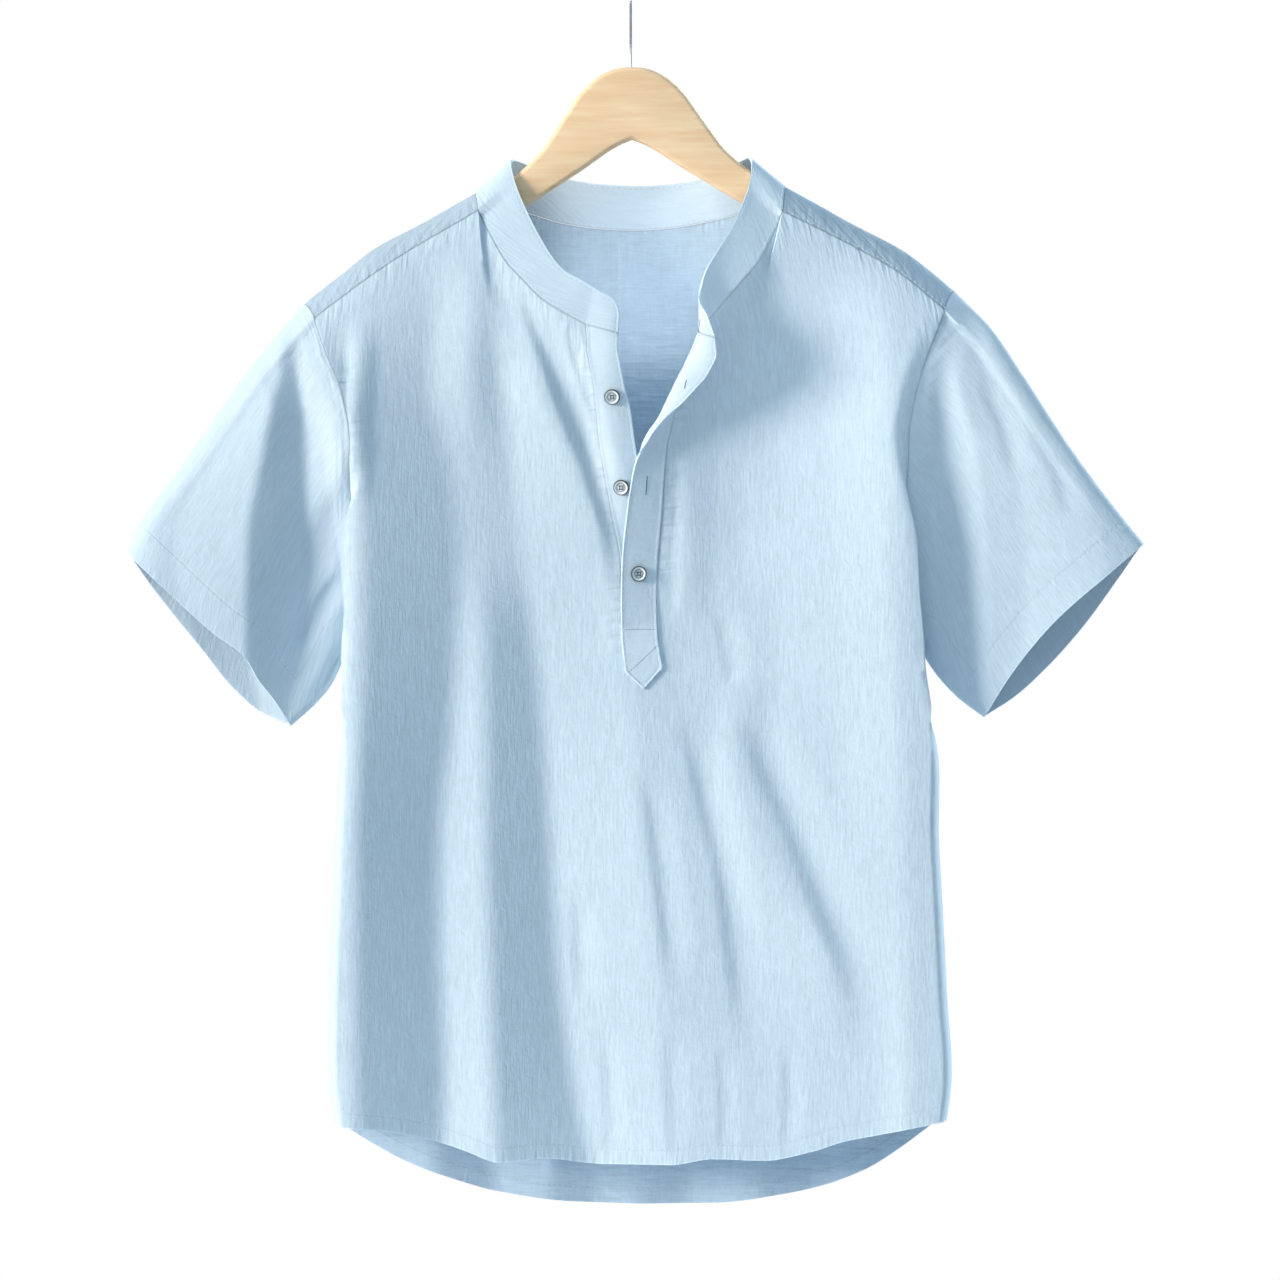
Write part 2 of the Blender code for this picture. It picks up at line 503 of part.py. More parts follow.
def back_grids():
    """The back: below the underarm, above it, and over both shoulders."""
    middle = SHOULDER_COLUMNS * 2 + BACK_NECK_COLUMNS
    left_x, right_x = ARMHOLE_BACK["left"][-1][0], ARMHOLE_BACK["right"][-1][0]
    near_left = left_x + edge_steps()
    near_right = (right_x - edge_steps())[::-1]
    row = join(near_left, np.linspace(near_left[-1], near_right[0], middle + 1), near_right)
    body = lower(back_y, BACK_HEM, row)
    wraps = {side: shoulder_wrap(side) for side in ("left", "right")}
    neck = along(BACK_NECK, np.linspace(0, 1, BACK_NECK_COLUMNS + 1))
    top = join(wraps["left"][0], neck, wraps["right"][0][::-1])
    v = upper_fractions()
    first = along(ARMHOLE_BACK["left"], 1 - v)
    last = along(ARMHOLE_BACK["right"], 1 - v)
    first[-1], last[-1] = top[0], top[-1]
    points = coons(body[0], top, first, last, share(row), v)
    x, z = points[..., 0], points[..., 2]
    roundness = smooth(1.6 - 2.2 * v)[:, None]
    y = back_y(x, z)
    for edge in (first, last):
        out = np.abs(x - edge[:, 0][:, None])
        miss = (edge[:, 1] - back_y(edge[:, 0], edge[:, 2]))[:, None]
        y = y + miss * edge_fade(out, EDGE_WIDTH, roundness)
    miss = top[:, 1] - y[-1]
    points[..., 1] = y + miss[None, :] * smooth(1 - (top[:, 2][None, :] - z) / 60)
    points[0], points[-1] = body[0], top
    points[:, 0], points[:, -1] = first, last
    return body[::-1, ::-1], points[:, ::-1], wraps["left"][:, ::-1], wraps["right"]


def sleeve_half(side, face, armhole):
    """Front or back of a sleeve: rows from the top fold down, columns out to the cuff."""
    cuff_curve = CUFF_FRONT[side] if face == "front" else CUFF_BACK[side]
    steps = np.linalg.norm(np.diff(armhole, axis=0), axis=1)
    round_the_arm = np.concatenate(([0], np.cumsum(steps))) / steps.sum()
    fullness = np.sin(np.pi * round_the_arm) ** 0.6
    sign = -1 if face == "front" else 1
    places = along(cuff_curve, round_the_arm)
    cuff = np.column_stack((places[:, 0], sign * CUFF_DEPTH[face] * fullness, places[:, 1]))
    outward = np.linspace(0, 1, SLEEVE_COLUMNS + 1)
    top = along(SLEEVE_TOP[side], outward)
    under = along(SLEEVE_UNDER[side], outward)
    top = np.column_stack((top[:, 0], 0 * outward, top[:, 1]))
    under = np.column_stack((under[:, 0], armhole[-1, 1] * (1 - outward), under[:, 1]))
    top[0], under[0] = armhole[0], armhole[-1]
    points = coons(top, under, armhole, cuff, outward, round_the_arm)
    x, z = points[..., 0], points[..., 2]
    sink = fold_depth(SLEEVE_FOLDS[side], SLEEVE_FOLD_HEIGHTS, x, z)
    hold = np.minimum(1, 3 * fullness[:, None] ** 2) * smooth(outward * 4)[None, :]
    amount = 1 if face == "front" else 0.6
    points[..., 1] -= sign * amount * sink * hold * fullness[:, None]
    points[:, 0] = armhole
    return points


def sleeve_grids(side, front_edge, wrap_edge, back_edge):
    """Both faces of a sleeve, which share the body's points round the armhole."""
    middle = RIDGE_ROWS
    forward = join(wrap_edge[middle:], front_edge[::-1])
    behind = join(wrap_edge[:middle + 1][::-1], back_edge[::-1])
    front = sleeve_half(side, "front", forward)
    back = sleeve_half(side, "back", behind)
    if side == "left":
        return front, back[:, ::-1]
    return front[:, ::-1], back


def under_strip(seam):
    """Under strip of the placket: rows from the bottom, columns from the seam."""
    part = np.linspace(0, 1, PLACKET_COLUMNS // 2 + 1)
    z_drop = UNDER_FREE[-1][0] - seam[-1, 2]
    rows = []
    for point in seam[1:]:
        level = point[2] + z_drop * smooth((point[2] + 330) / 60)
        free = by_height(UNDER_FREE, np.array(level), 0, 1)
        x = point[0] + (free - point[0]) * part
        z = point[2] + (level - point[2]) * part
        lift = front_y(point[0], point[2]) - point[1]
        rows.append(np.column_stack((x, front_y(x, z) - lift, z)))
    grid = np.array(rows)
    grid[:, 0] = seam[1:]
    return grid


def over_strip(seam):
    """Over strip of the placket and its point: rows from the bottom, columns from the left."""
    t = np.linspace(1, 0, PLACKET_COLUMNS + 1)
    rows = []
    for point in seam:
        z = np.array(point[2])
        fold_x, fold_out, free_x, free_out = [by_height(OVER_STRIP, z, 0, k) for k in (3, 4, 5, 6)]
        lift = TOWER_LIFT * smooth(1 - (z - UNDERARM) / 45)
        base = np.array((point[0], point[1] - lift))
        plane = front_y(point[0], point[2])
        fold = np.array((fold_x, plane - max(fold_out, lift)))
        free = np.array((free_x, plane - max(free_out, lift)))
        curve = ((1 - t)[:, None] ** 2 * base + (2 * t * (1 - t))[:, None] * fold
                 + (t ** 2)[:, None] * free)
        drop = 3.5 * t * smooth((z + 300) / 25)
        rows.append(np.column_stack((curve[:, 0], curve[:, 1], z - drop)))
    grid = np.array(rows)
    left, right = TOWER_SHOULDERS
    corners = np.array((left, TOWER_TIP, right), float)
    edge = np.column_stack([np.interp(1 - t, (0, 0.5, 1), corners[:, k]) for k in (0, 1)])
    tower = []
    for k in range(TOWER_ROWS, 0, -1):
        part = k / TOWER_ROWS
        x = grid[0, :, 0] + (edge[:, 0] - grid[0, :, 0]) * part
        z = UNDERARM + (edge[:, 1] - UNDERARM) * part
        lift = (front_y(grid[0, :, 0], UNDERARM) - grid[0, :, 1]) * (1 - part) + TOWER_LIFT * part
        tower.append(np.column_stack((x, front_y(x, z) - lift, z)))
    return np.concatenate((np.array(tower), grid))


def band_grid(seam, stations):
    """Collar band: rows from its seam up, columns from its right end."""
    steps = np.linalg.norm(np.diff(seam, axis=0), axis=1)
    run = np.concatenate(([0], np.cumsum(steps))) / steps.sum()
    top_steps = np.linalg.norm(np.diff(np.array(BAND_TOP), axis=0), axis=1)
    top_run = np.concatenate(([0], np.cumsum(top_steps))) / top_steps.sum()
    names = list(BAND_STATIONS)
    seam_at = [0] + [run[stations[name]] for name in names] + [1]
    top_at = [0] + [top_run[BAND_STATIONS[name]] for name in names] + [1]
    top = along(BAND_TOP, np.interp(run, seam_at, top_at))
    rise = np.linspace(0, 1, BAND_ROWS + 1)[:, None, None]
    return (seam + (top - seam) * rise)[:, ::-1]


def cloth_grids():
    """Every grid of the shirt by the name of the piece it belongs to."""
    body_front, upper_left, upper_right = front_grids()
    body_back, upper_back, wrap_left, wrap_right = back_grids()
    under = under_strip(upper_left[:, -1])
    over = over_strip(upper_right[:, 0])
    sleeve_left = sleeve_grids("left", upper_left[:, 0], wrap_left[:, -1], upper_back[:, -1])
    sleeve_right = sleeve_grids("right", upper_right[:, -1], wrap_right[:, 0], upper_back[:, 0])
    neck = EDGE_COLUMNS + SHOULDER_COLUMNS
    behind = upper_back[-1][::-1][neck:-neck]
    runs = [under[-1][::-1], upper_left[-1][neck:][::-1], wrap_left[:, 0][::-1], behind,
            wrap_right[:, -1], upper_right[-1][:NECK_COLUMNS + 1][::-1], over[-1][::-1]]
    ends = np.cumsum([0] + [len(run) - 1 for run in runs])
    stations = dict(zip(("placket_left", "neck_left", "behind_left", "behind_right",
                         "neck_right", "placket_right"), ends[1:-1]))
    band = band_grid(join(*runs), stations)
    return {"front": (body_front, upper_left, upper_right),
            "back": (body_back, upper_back, wrap_left, wrap_right),
            "sleeve_left": sleeve_left, "sleeve_right": sleeve_right,
            "collar_band": (band,), "placket_under": (under,), "placket_over": (over,)}


def weld(pieces):
    """Shared points of all grids, and the triangles of each piece by index."""
    ids = {}
    triangles = {name: [] for name in pieces}
    for name, grids in pieces.items():
        for grid in grids:
            rows, columns = grid.shape[:2]
            keys = [[tuple(np.round(point, 4)) for point in row] for row in grid]
            index = [[ids.setdefault(key, len(ids)) for key in row] for row in keys]
            for r in range(rows - 1):
                for c in range(columns - 1):
                    corners = (index[r][c], index[r][c + 1], index[r + 1][c + 1], index[r + 1][c])
                    across = np.linalg.norm(grid[r, c] - grid[r + 1, c + 1])
                    other = np.linalg.norm(grid[r, c + 1] - grid[r + 1, c])
                    turn = 0 if across <= other else 1
                    a, b, d, e = corners[turn:] + corners[:turn]
                    triangles[name] += [(a, b, d), (a, d, e)]
    return np.array(list(ids)), {name: [t for t in rows if len(set(t)) == 3]
                                 for name, rows in triangles.items()}


def point_normals(points, triangles):
    """Smooth normals over the whole garment."""
    normals = np.zeros_like(points)
    for rows in triangles.values():
        corners = np.array(rows)
        a, b, c = (points[corners[:, k]] for k in range(3))
        face = np.cross(b - a, c - a)
        for k in range(3):
            np.add.at(normals, corners[:, k], face)
    return normals / np.linalg.norm(normals, axis=1)[:, None]


def rim_edges(rows):
    """Edges that only one triangle of a piece uses, each as it runs round that triangle."""
    edges = {}
    for a, b, c in rows:
        for edge in ((a, b), (b, c), (c, a)):
            edges[edge] = edges.get(edge, 0) + 1
    return [edge for edge in edges if (edge[1], edge[0]) not in edges]


def inward(points, rows, rim):
    """For each point on a piece's rim, the direction along the cloth away from the rim."""
    ways = {}
    inside, count, run = {}, {}, {}
    on_rim = {a for edge in rim for a in edge}
    for row in rows:
        middle = points[list(row)].mean(axis=0)
        for a in row:
            if a in on_rim:
                inside[a] = inside.get(a, 0) + middle - points[a]
                count[a] = count.get(a, 0) + 1
    for a, b in rim:
        step = (points[b] - points[a]) / np.linalg.norm(points[b] - points[a])
        run[a] = run.get(a, 0) + step
        run[b] = run.get(b, 0) + step
    for a in on_rim:
        way = inside[a] / count[a]
        line = run[a]
        if np.linalg.norm(line) > 1.2:
            line = line / np.linalg.norm(line)
            way = way - line * (way @ line)
        ways[a] = way / np.linalg.norm(way)
    return ways


def draw_in(points, name, ways):
    """The piece's points, with those on its rim moved in by half the seam gap.

    Where two pieces meet at a sharp fold they move further, to stay the same gap apart.
    """
    moved = points.copy()
    for a, way in ways[name].items():
        others = [ways[other][a] for other in ways if other != name and a in ways[other]]
        closest = max([way @ other for other in others], default=-1)
        half_angle = math.acos(min(closest, 0.999)) / 2
        moved[a] += way * SEAM_GAP / 2 * min(1 / math.sin(half_angle), 4)
    return moved


def material(name, colour, roughness, metallic=0.0):
    """Plain finish for one kind of piece."""
    finish = bpy.data.materials.new(name)
    finish.use_nodes = True
    shader = finish.node_tree.nodes["Principled BSDF"]
    shader.inputs["Base Color"].default_value = (*colour, 1)
    shader.inputs["Roughness"].default_value = roughness
    shader.inputs["Metallic"].default_value = metallic
    return finish


def add_object(name, mesh, finish):
    """Place a finished mesh in the scene."""
    mesh.materials.append(finish)
    obj = bpy.data.objects.new(name, mesh)
    bpy.context.collection.objects.link(obj)
    return obj


def cloth_piece(name, middle, normals, rows, wall, finish):
    """A closed wall of cloth from the piece's share of the garment's surface."""
    used = sorted({a for row in rows for a in row})
    place = {a: k for k, a in enumerate(used)}
    count = len(used)
    outer = middle[used] + normals[used] * wall / 2
    inner = middle[used] - normals[used] * wall / 2
    faces = [tuple(place[a] for a in row) for row in rows]
    faces += [tuple(place[a] + count for a in reversed(row)) for row in rows]
    for a, b in rim_edges(rows):
        low, high = place[a], place[b]
        if a < b:
            faces += [(high, low, low + count), (high, low + count, high + count)]
        else:
            faces += [(high, low, high + count), (low, low + count, high + count)]
    mesh = bpy.data.meshes.new(name)
    mesh.from_pydata((np.vstack((outer, inner)) * MM).tolist(), [], faces)
    mesh.shade_smooth()
    mesh.set_sharp_from_angle(angle=math.radians(50))
    return add_object(name, mesh, finish)


def build_shirt(grids):
    """All cloth pieces."""
    cloth = material("light blue cloth", (0.52, 0.68, 0.84), 0.9)
    points, triangles = weld(grids)
    normals = point_normals(points, triangles)
    walls = {"collar_band": BAND_WALL, "placket_under": PLACKET_WALL, "placket_over": PLACKET_WALL}
    ways = {name: inward(points, rows, rim_edges(rows)) for name, rows in triangles.items()}
    for name, rows in triangles.items():
        middle = draw_in(points, name, ways)
        cloth_piece(name, middle, normals, rows, walls.get(name, WALL), cloth)


def seat_on(grid, x, z, wall):
    """Point and outward direction on a strip's outer face at x, z."""
    middles = (grid[:-1, :-1] + grid[1:, 1:] + grid[:-1, 1:] + grid[1:, :-1]) / 4
    away = np.hypot(middles[..., 0] - x, middles[..., 2] - z)
    r, c = np.unravel_index(np.argmin(away), away.shape)
    normal = np.cross(grid[r + 1, c + 1] - grid[r, c], grid[r + 1, c] - grid[r, c + 1])
    normal = normal / np.linalg.norm(normal)
    middle = middles[r, c]
    y = middle[1] - (normal[0] * (x - middle[0]) + normal[2] * (z - middle[2])) / normal[1]
    return np.array((x, y, z)) + normal * wall / 2, normal


def build_button(name, seat, direction, finish):
    """Four-hole button with a raised rim, its back to the cloth."""
    r, h = BUTTON_RADIUS, BUTTON_THICK
    outline = [(0.0, 0.0), (r * 0.8, 0.0), (r, h * 0.45), (r * 0.95, h * 0.9), (r * 0.82, h),
               (r * 0.66, h * 0.66), (0.0, h * 0.62)]
    shape = bmesh.new()
    corners = [shape.verts.new((x * MM, 0, z * MM)) for x, z in outline]
    edges = [shape.edges.new(pair) for pair in zip(corners[:-1], corners[1:])]
    bmesh.ops.spin(shape, geom=corners + edges, cent=(0, 0, 0), axis=(0, 0, 1),
                   angle=math.tau, steps=24, use_merge=True)
    bmesh.ops.remove_doubles(shape, verts=shape.verts, dist=1e-6)
    bmesh.ops.recalc_face_normals(shape, faces=shape.faces)
    mesh = bpy.data.meshes.new(name)
    shape.to_mesh(mesh)
    shape.free()
    mesh.shade_smooth()
    mesh.set_sharp_from_angle(angle=math.radians(40))
    button = add_object(name, mesh, finish)
    for k in range(4):
        turn = math.tau * (k + 0.5) / 4
        bpy.ops.mesh.primitive_cylinder_add(
            vertices=8, radius=0.75 * MM, depth=3 * h * MM,
            location=(1.7 * MM * math.cos(turn), 1.7 * MM * math.sin(turn), 0))
        hole = bpy.context.object
        hole.name = f"{name}_hole_{k}"
        hole.hide_render = True
        hole.display_type = "WIRE"
        hole.parent = button
        cut = button.modifiers.new(hole.name, "BOOLEAN")
        cut.operation = "DIFFERENCE"
        cut.solver = "EXACT"
        cut.object = hole
    across = np.cross((0, 0, 1), direction)
    across = across / np.linalg.norm(across)
    upward = np.cross(direction, across)
    place = (seat + direction * 0.3) * MM
    rows = [(across[k], upward[k], direction[k], place[k]) for k in range(3)]
    button.matrix_world = Matrix((*rows, (0, 0, 0, 1)))


def hanger_outline():
    """Closed outline of the hanger, tilted a little as it hangs: x, z."""
    top = along(HANGER_TOP, np.linspace(0, 1, 22))
    under = along(HANGER_UNDER, np.linspace(0, 1, 12))
    end = np.array([HANGER_END], float)
    right = np.concatenate((top, end, under))
    left = right[1:-1][::-1] * (-1, 1)
    outline = np.concatenate((right, left))
    arm = outline - (0, HANGER_TOP[0][1])
    c, s = math.cos(HANGER_TILT), math.sin(HANGER_TILT)
    return arm @ np.array(((c, s), (-s, c))) + (0, HANGER_TOP[0][1])


def build_hanger():
    """Flat wooden hanger with rounded edges and a bore for the hook's shank."""
    wood = material("pale wood", (0.86, 0.64, 0.40), 0.5)
    shape = bmesh.new()
    half = HANGER_THICK / 2 * MM
    corners = [shape.verts.new((x * MM, -half, z * MM)) for x, z in hanger_outline()]
    face = shape.faces.new(corners)
    grown = bmesh.ops.extrude_face_region(shape, geom=[face])
    moved = [item for item in grown["geom"] if isinstance(item, bmesh.types.BMVert)]
    bmesh.ops.translate(shape, verts=moved, vec=(0, 2 * half, 0))
    bmesh.ops.recalc_face_normals(shape, faces=shape.faces)
    mesh = bpy.data.meshes.new("hanger")
    shape.to_mesh(mesh)
    shape.free()
    hanger = add_object("hanger", mesh, wood)
    bevel = hanger.modifiers.new("rounded edges", "BEVEL")
    bevel.width = HANGER_ROUND * MM
    bevel.segments = 3
    bevel.limit_method = "ANGLE"
    bevel.angle_limit = math.radians(70)
    radius = (WIRE_RADIUS + SHANK_CLEAR) * MM
    depth = (SHANK_DEPTH + SHANK_CLEAR) * MM
    bpy.ops.mesh.primitive_cylinder_add(vertices=12, radius=radius, depth=2 * depth,
                                        location=(0, 0, HANGER_TOP[0][1] * MM))
    bore = bpy.context.object
    bore.name = "shank_bore"
    bore.hide_render = True
    bore.display_type = "WIRE"
    cut = hanger.modifiers.new("shank bore", "BOOLEAN")
    cut.operation = "DIFFERENCE"
    cut.solver = "EXACT"
    cut.object = bore


def hook_route():
    """Middle line of the wire in the Y-Z plane, from the wood up and over the rail."""
    centre = WIRE_RADIUS - HOOK_RADIUS
    foot = HANGER_TOP[0][1] - SHANK_DEPTH
    lead = [(0, foot), (0, -66), (0, -56), (-1.2, -48.5), (-6, -41), (-12.5, -34), (-16.8, -27)]
    turns = np.radians(np.linspace(190, -25, 20))
    crook = [(HOOK_RADIUS * math.cos(a), centre + HOOK_RADIUS * math.sin(a)) for a in turns]
    return along(lead + crook, np.linspace(0, 1, 58))


def build_hook():
    """Steel wire hook, screwed into the top of the hanger."""
    steel = material("steel wire", (0.42, 0.43, 0.45), 0.35, 1.0)
    route = hook_route()
    curve = bpy.data.curves.new("hook", "CURVE")
    curve.dimensions = "3D"
    curve.bevel_depth = WIRE_RADIUS * MM
    curve.bevel_resolution = 2
    curve.use_fill_caps = True
    line = curve.splines.new("POLY")
    line.points.add(len(route) - 1)
    for point, (y, z) in zip(line.points, route):
        point.co = (0, y * MM, z * MM, 1)
    curve.materials.append(steel)
    bpy.context.collection.objects.link(bpy.data.objects.new("hook", curve))


def main():
    """Build the whole object."""
    for obj in list(bpy.data.objects):
        bpy.data.objects.remove(obj, do_unlink=True)
    grids = cloth_grids()
    build_shirt(grids)
    resin = material("pale grey button", (0.55, 0.64, 0.68), 0.35)
    strips = {"under": grids["placket_under"][0], "over": grids["placket_over"][0]}
    for number, (x, z, strip) in enumerate(BUTTON_PLACES, start=1):
        seat, direction = seat_on(strips[strip], x, z, PLACKET_WALL)
        build_button(f"button_{number}", seat, direction, resin)
    build_hanger()
    build_hook()


main()
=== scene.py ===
import math

import bmesh
import bpy
import numpy as np
from mathutils import Matrix, Vector
from mathutils.kdtree import KDTree


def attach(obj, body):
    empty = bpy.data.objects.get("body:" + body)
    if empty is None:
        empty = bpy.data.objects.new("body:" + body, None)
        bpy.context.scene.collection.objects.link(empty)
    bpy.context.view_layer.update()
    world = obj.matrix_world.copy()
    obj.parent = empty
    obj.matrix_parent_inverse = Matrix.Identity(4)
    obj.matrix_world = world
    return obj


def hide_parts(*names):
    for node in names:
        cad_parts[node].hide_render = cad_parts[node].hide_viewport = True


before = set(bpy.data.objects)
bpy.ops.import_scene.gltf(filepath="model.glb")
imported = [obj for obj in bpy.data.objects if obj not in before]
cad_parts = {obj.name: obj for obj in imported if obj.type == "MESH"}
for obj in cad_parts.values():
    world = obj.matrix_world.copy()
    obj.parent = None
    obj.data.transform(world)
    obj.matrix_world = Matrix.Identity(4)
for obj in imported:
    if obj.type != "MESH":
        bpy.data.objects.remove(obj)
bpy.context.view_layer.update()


# ---------------------------------------------------------------------------
# Camera. It stands straight in front of the shirt at the height of its chest,
# far enough off that the sleeves and the hem are seen without widening.
CAMERA_PLACE = (0.0070, -4.5, -0.5010)
LEVEL = (math.radians(90), 0, 0)     # looks straight at the shirt


def placed(name, data):
    """An object with this data, put in the scene."""
    obj = bpy.data.objects.new(name, data)
    bpy.context.collection.objects.link(obj)
    return obj


camera_data = bpy.data.cameras.new("camera")
camera_data.sensor_width = 36
camera_data.lens = 167.2
camera = placed("camera", camera_data)
camera.location = CAMERA_PLACE
camera.rotation_euler = LEVEL
bpy.context.scene.camera = camera


# ---------------------------------------------------------------------------
# Front of the shirt, one panel of slub linen and cotton. It hangs from the
# forward shoulder seams, is slit at the middle for the placket, and its curved
# hem is turned up narrow. Sizes are in millimetres: x to the right, y away from
# the viewer, z up, all from the inner top of the hook.
FRONT_DEPTH = 33.0       # the front hangs this far before the hanger's middle plane
RIDGE_RADIUS = 9.0       # roundness of the shoulder over the hanger's arm
EDGE_WIDTH = 22.0        # stretch along the side seams that rolls out
EDGE_TURN = 14.0         # and the part of it that turns round to the seam at the armholes
SEAM_TURN = 7.0          # the same from TURN_EASE below the underarms down
TURN_EASE = 60.0
UNDERARM = -501.0
UNDERARM_DEPTH = 4.0     # the underarms lie this far behind the hanger's middle plane
SLOT_LEFT = -4.2
SLOT_RIGHT = 20.6
SLOT_REACH = 55.0        # the depth of the slit's edge is felt this far into the panel,
TOP_REACH = 75.0         # that of the shoulder seam and the neckline this far down,
CORNER_REACH = 80.0      # and that of the neckline's left end this far down the slit
EDGE_COLUMNS = 12
SHOULDER_COLUMNS = 34
NECK_COLUMNS = 36
SLOT_COLUMNS = 9
UPPER_ROWS = 84
LOWER_ROWS = 120
UPPER_CROWDING = 1.15    # rows above the underarm stand closer together near it
NECK_CROWDING = 1.3      # and columns below the neckline near the slit
# Top of the shoulders, where the cloth turns over the hanger: x, z.
RIDGE = [(-247, -247.5), (-242.6, -243.6), (-217.6, -224), (-194.9, -206), (-157.8, -186.2),
         (-126, -168.2), (-117.7, -163.5), (0, -95), (117, -158.5), (134.4, -168),
         (168.4, -187), (205.5, -206.5), (229.7, -224.7), (245.4, -238), (251, -242)]
# Forward shoulder seam from the armhole to the neck: x, z.
SHOULDER_SEAM = {"left": [(-238.8, -258), (-182.8, -217.1), (-115.4, -177)],
                 "right": [(236.6, -251.9), (201.7, -223.5), (163.9, -202), (114.7, -177.7)]}
# Armhole from the shoulder seam to the underarm: x, y, z.
ARMHOLE_FRONT = {
    "left": [(-238.8, -12.5, -258), (-230.5, -19, -282.2), (-218.4, -24, -312.5),
             (-212, -26, -342.8), (-211.6, -24, -367), (-210.8, -15, -395),
             (-208.6, -11, -429), (-208.6, -8, -463), (-209.4, -4, -485),
             (-210.8, 4, -501)],
    "right": [(236.6, -12.5, -251.9), (229.8, -15, -270), (222.2, -16, -289),
              (214.6, -15, -317), (210, -14, -342.8), (209.3, -13, -364.7),
              (207, -12, -395), (207.8, -10, -432.9), (211.6, -8, -465), (214.6, -4, -485),
              (216.9, 4, -501)]}
# Side seams from the underarm to the hem: x, z.
SIDE_SEAM = {"left": [(-210.8, -501), (-211.8, -520), (-214.5, -545), (-219.3, -580),
                      (-222.5, -630), (-225.2, -698), (-227.5, -760), (-227.5, -834),
                      (-223.9, -867.4)],
             "right": [(216.9, -501), (218, -520), (222, -545), (231, -580), (232.8, -650),
                       (236, -710), (239, -770), (241.9, -840), (238.8, -862.8)]}
# How far the body's edge rolls out over the armhole seam: z, roll.
EDGE_ROLL = {"left": [(-868, 0), (-610, 0), (-580, 3), (-546, 13), (-501, 17), (-463, 17),
                      (-429, 17), (-400, 11), (-385, 4), (-372, 0), (-258, 0)],
             "right": [(-868, 0), (-610, 0), (-580, 3), (-546, 13), (-501, 14), (-463, 16),
                       (-429, 18), (-395, 12), (-375, 6), (-362, 2), (-350, 0), (-252, 0)]}
FRONT_HEM = [(-223.9, -867.4), (-184.3, -871.2), (-151.8, -878), (-125.3, -886.3),
             (-98, -895), (-66.2, -892.5), (-20, -897), (30, -897), (61.7, -892.5),
             (100, -893.5), (137.4, -886.3), (160.1, -879), (190, -873), (238.8, -862.8)]
# Neckline from the shoulder seam to the placket: x, y, z.
NECKLINE = {"left": [(-115.4, -10, -177), (-105.6, -16, -195.9), (-94.2, -21, -215.6),
                     (-80.6, -26, -230.7), (-67, -30, -244.4), (-51.9, -33, -254.2),
                     (-33.7, -35, -264)],
            "right": [(114.7, -10.5, -177.7), (104.8, -17, -199.7), (95, -23, -217.1),
                      (83.6, -27, -230.7), (70, -31, -246.6), (62.5, -35, -255.7),
                      (55.5, -40, -263), (51.5, -44.5, -268), (52.6, -47.5, -271)]}
# The left edge of the slit is sewn to the under strip: z, x.
UNDER_SEAM = [(-501, -4.2), (-470.7, -6.5), (-440.4, -8), (-406, -14.5), (-387.5, -17.8),
              (-371.3, -20.5), (-345, -24.6), (-326, -26.1), (-305.7, -28.4), (-282.2, -32.9),
              (-264, -33.7)]
# The right edge is sewn to the over strip: z, x, and how far it stands forward.
OVER_SEAM = [(-501.0, 20.6, 0), (-470.7, 19.4, 0), (-440.4, 20.6, 0), (-406.4, 23.6, 0),
             (-380.6, 25.2, 0), (-364.7, 26.5, 0.5), (-354.1, 27.6, 1), (-344.3, 29.9, 2),
             (-333.7, 32.2, 3), (-323.9, 35.2, 4), (-313.3, 37.2, 7), (-301.9, 38.8, 11),
             (-284.5, 47.0, 18), (-271.0, 52.6, 25)]
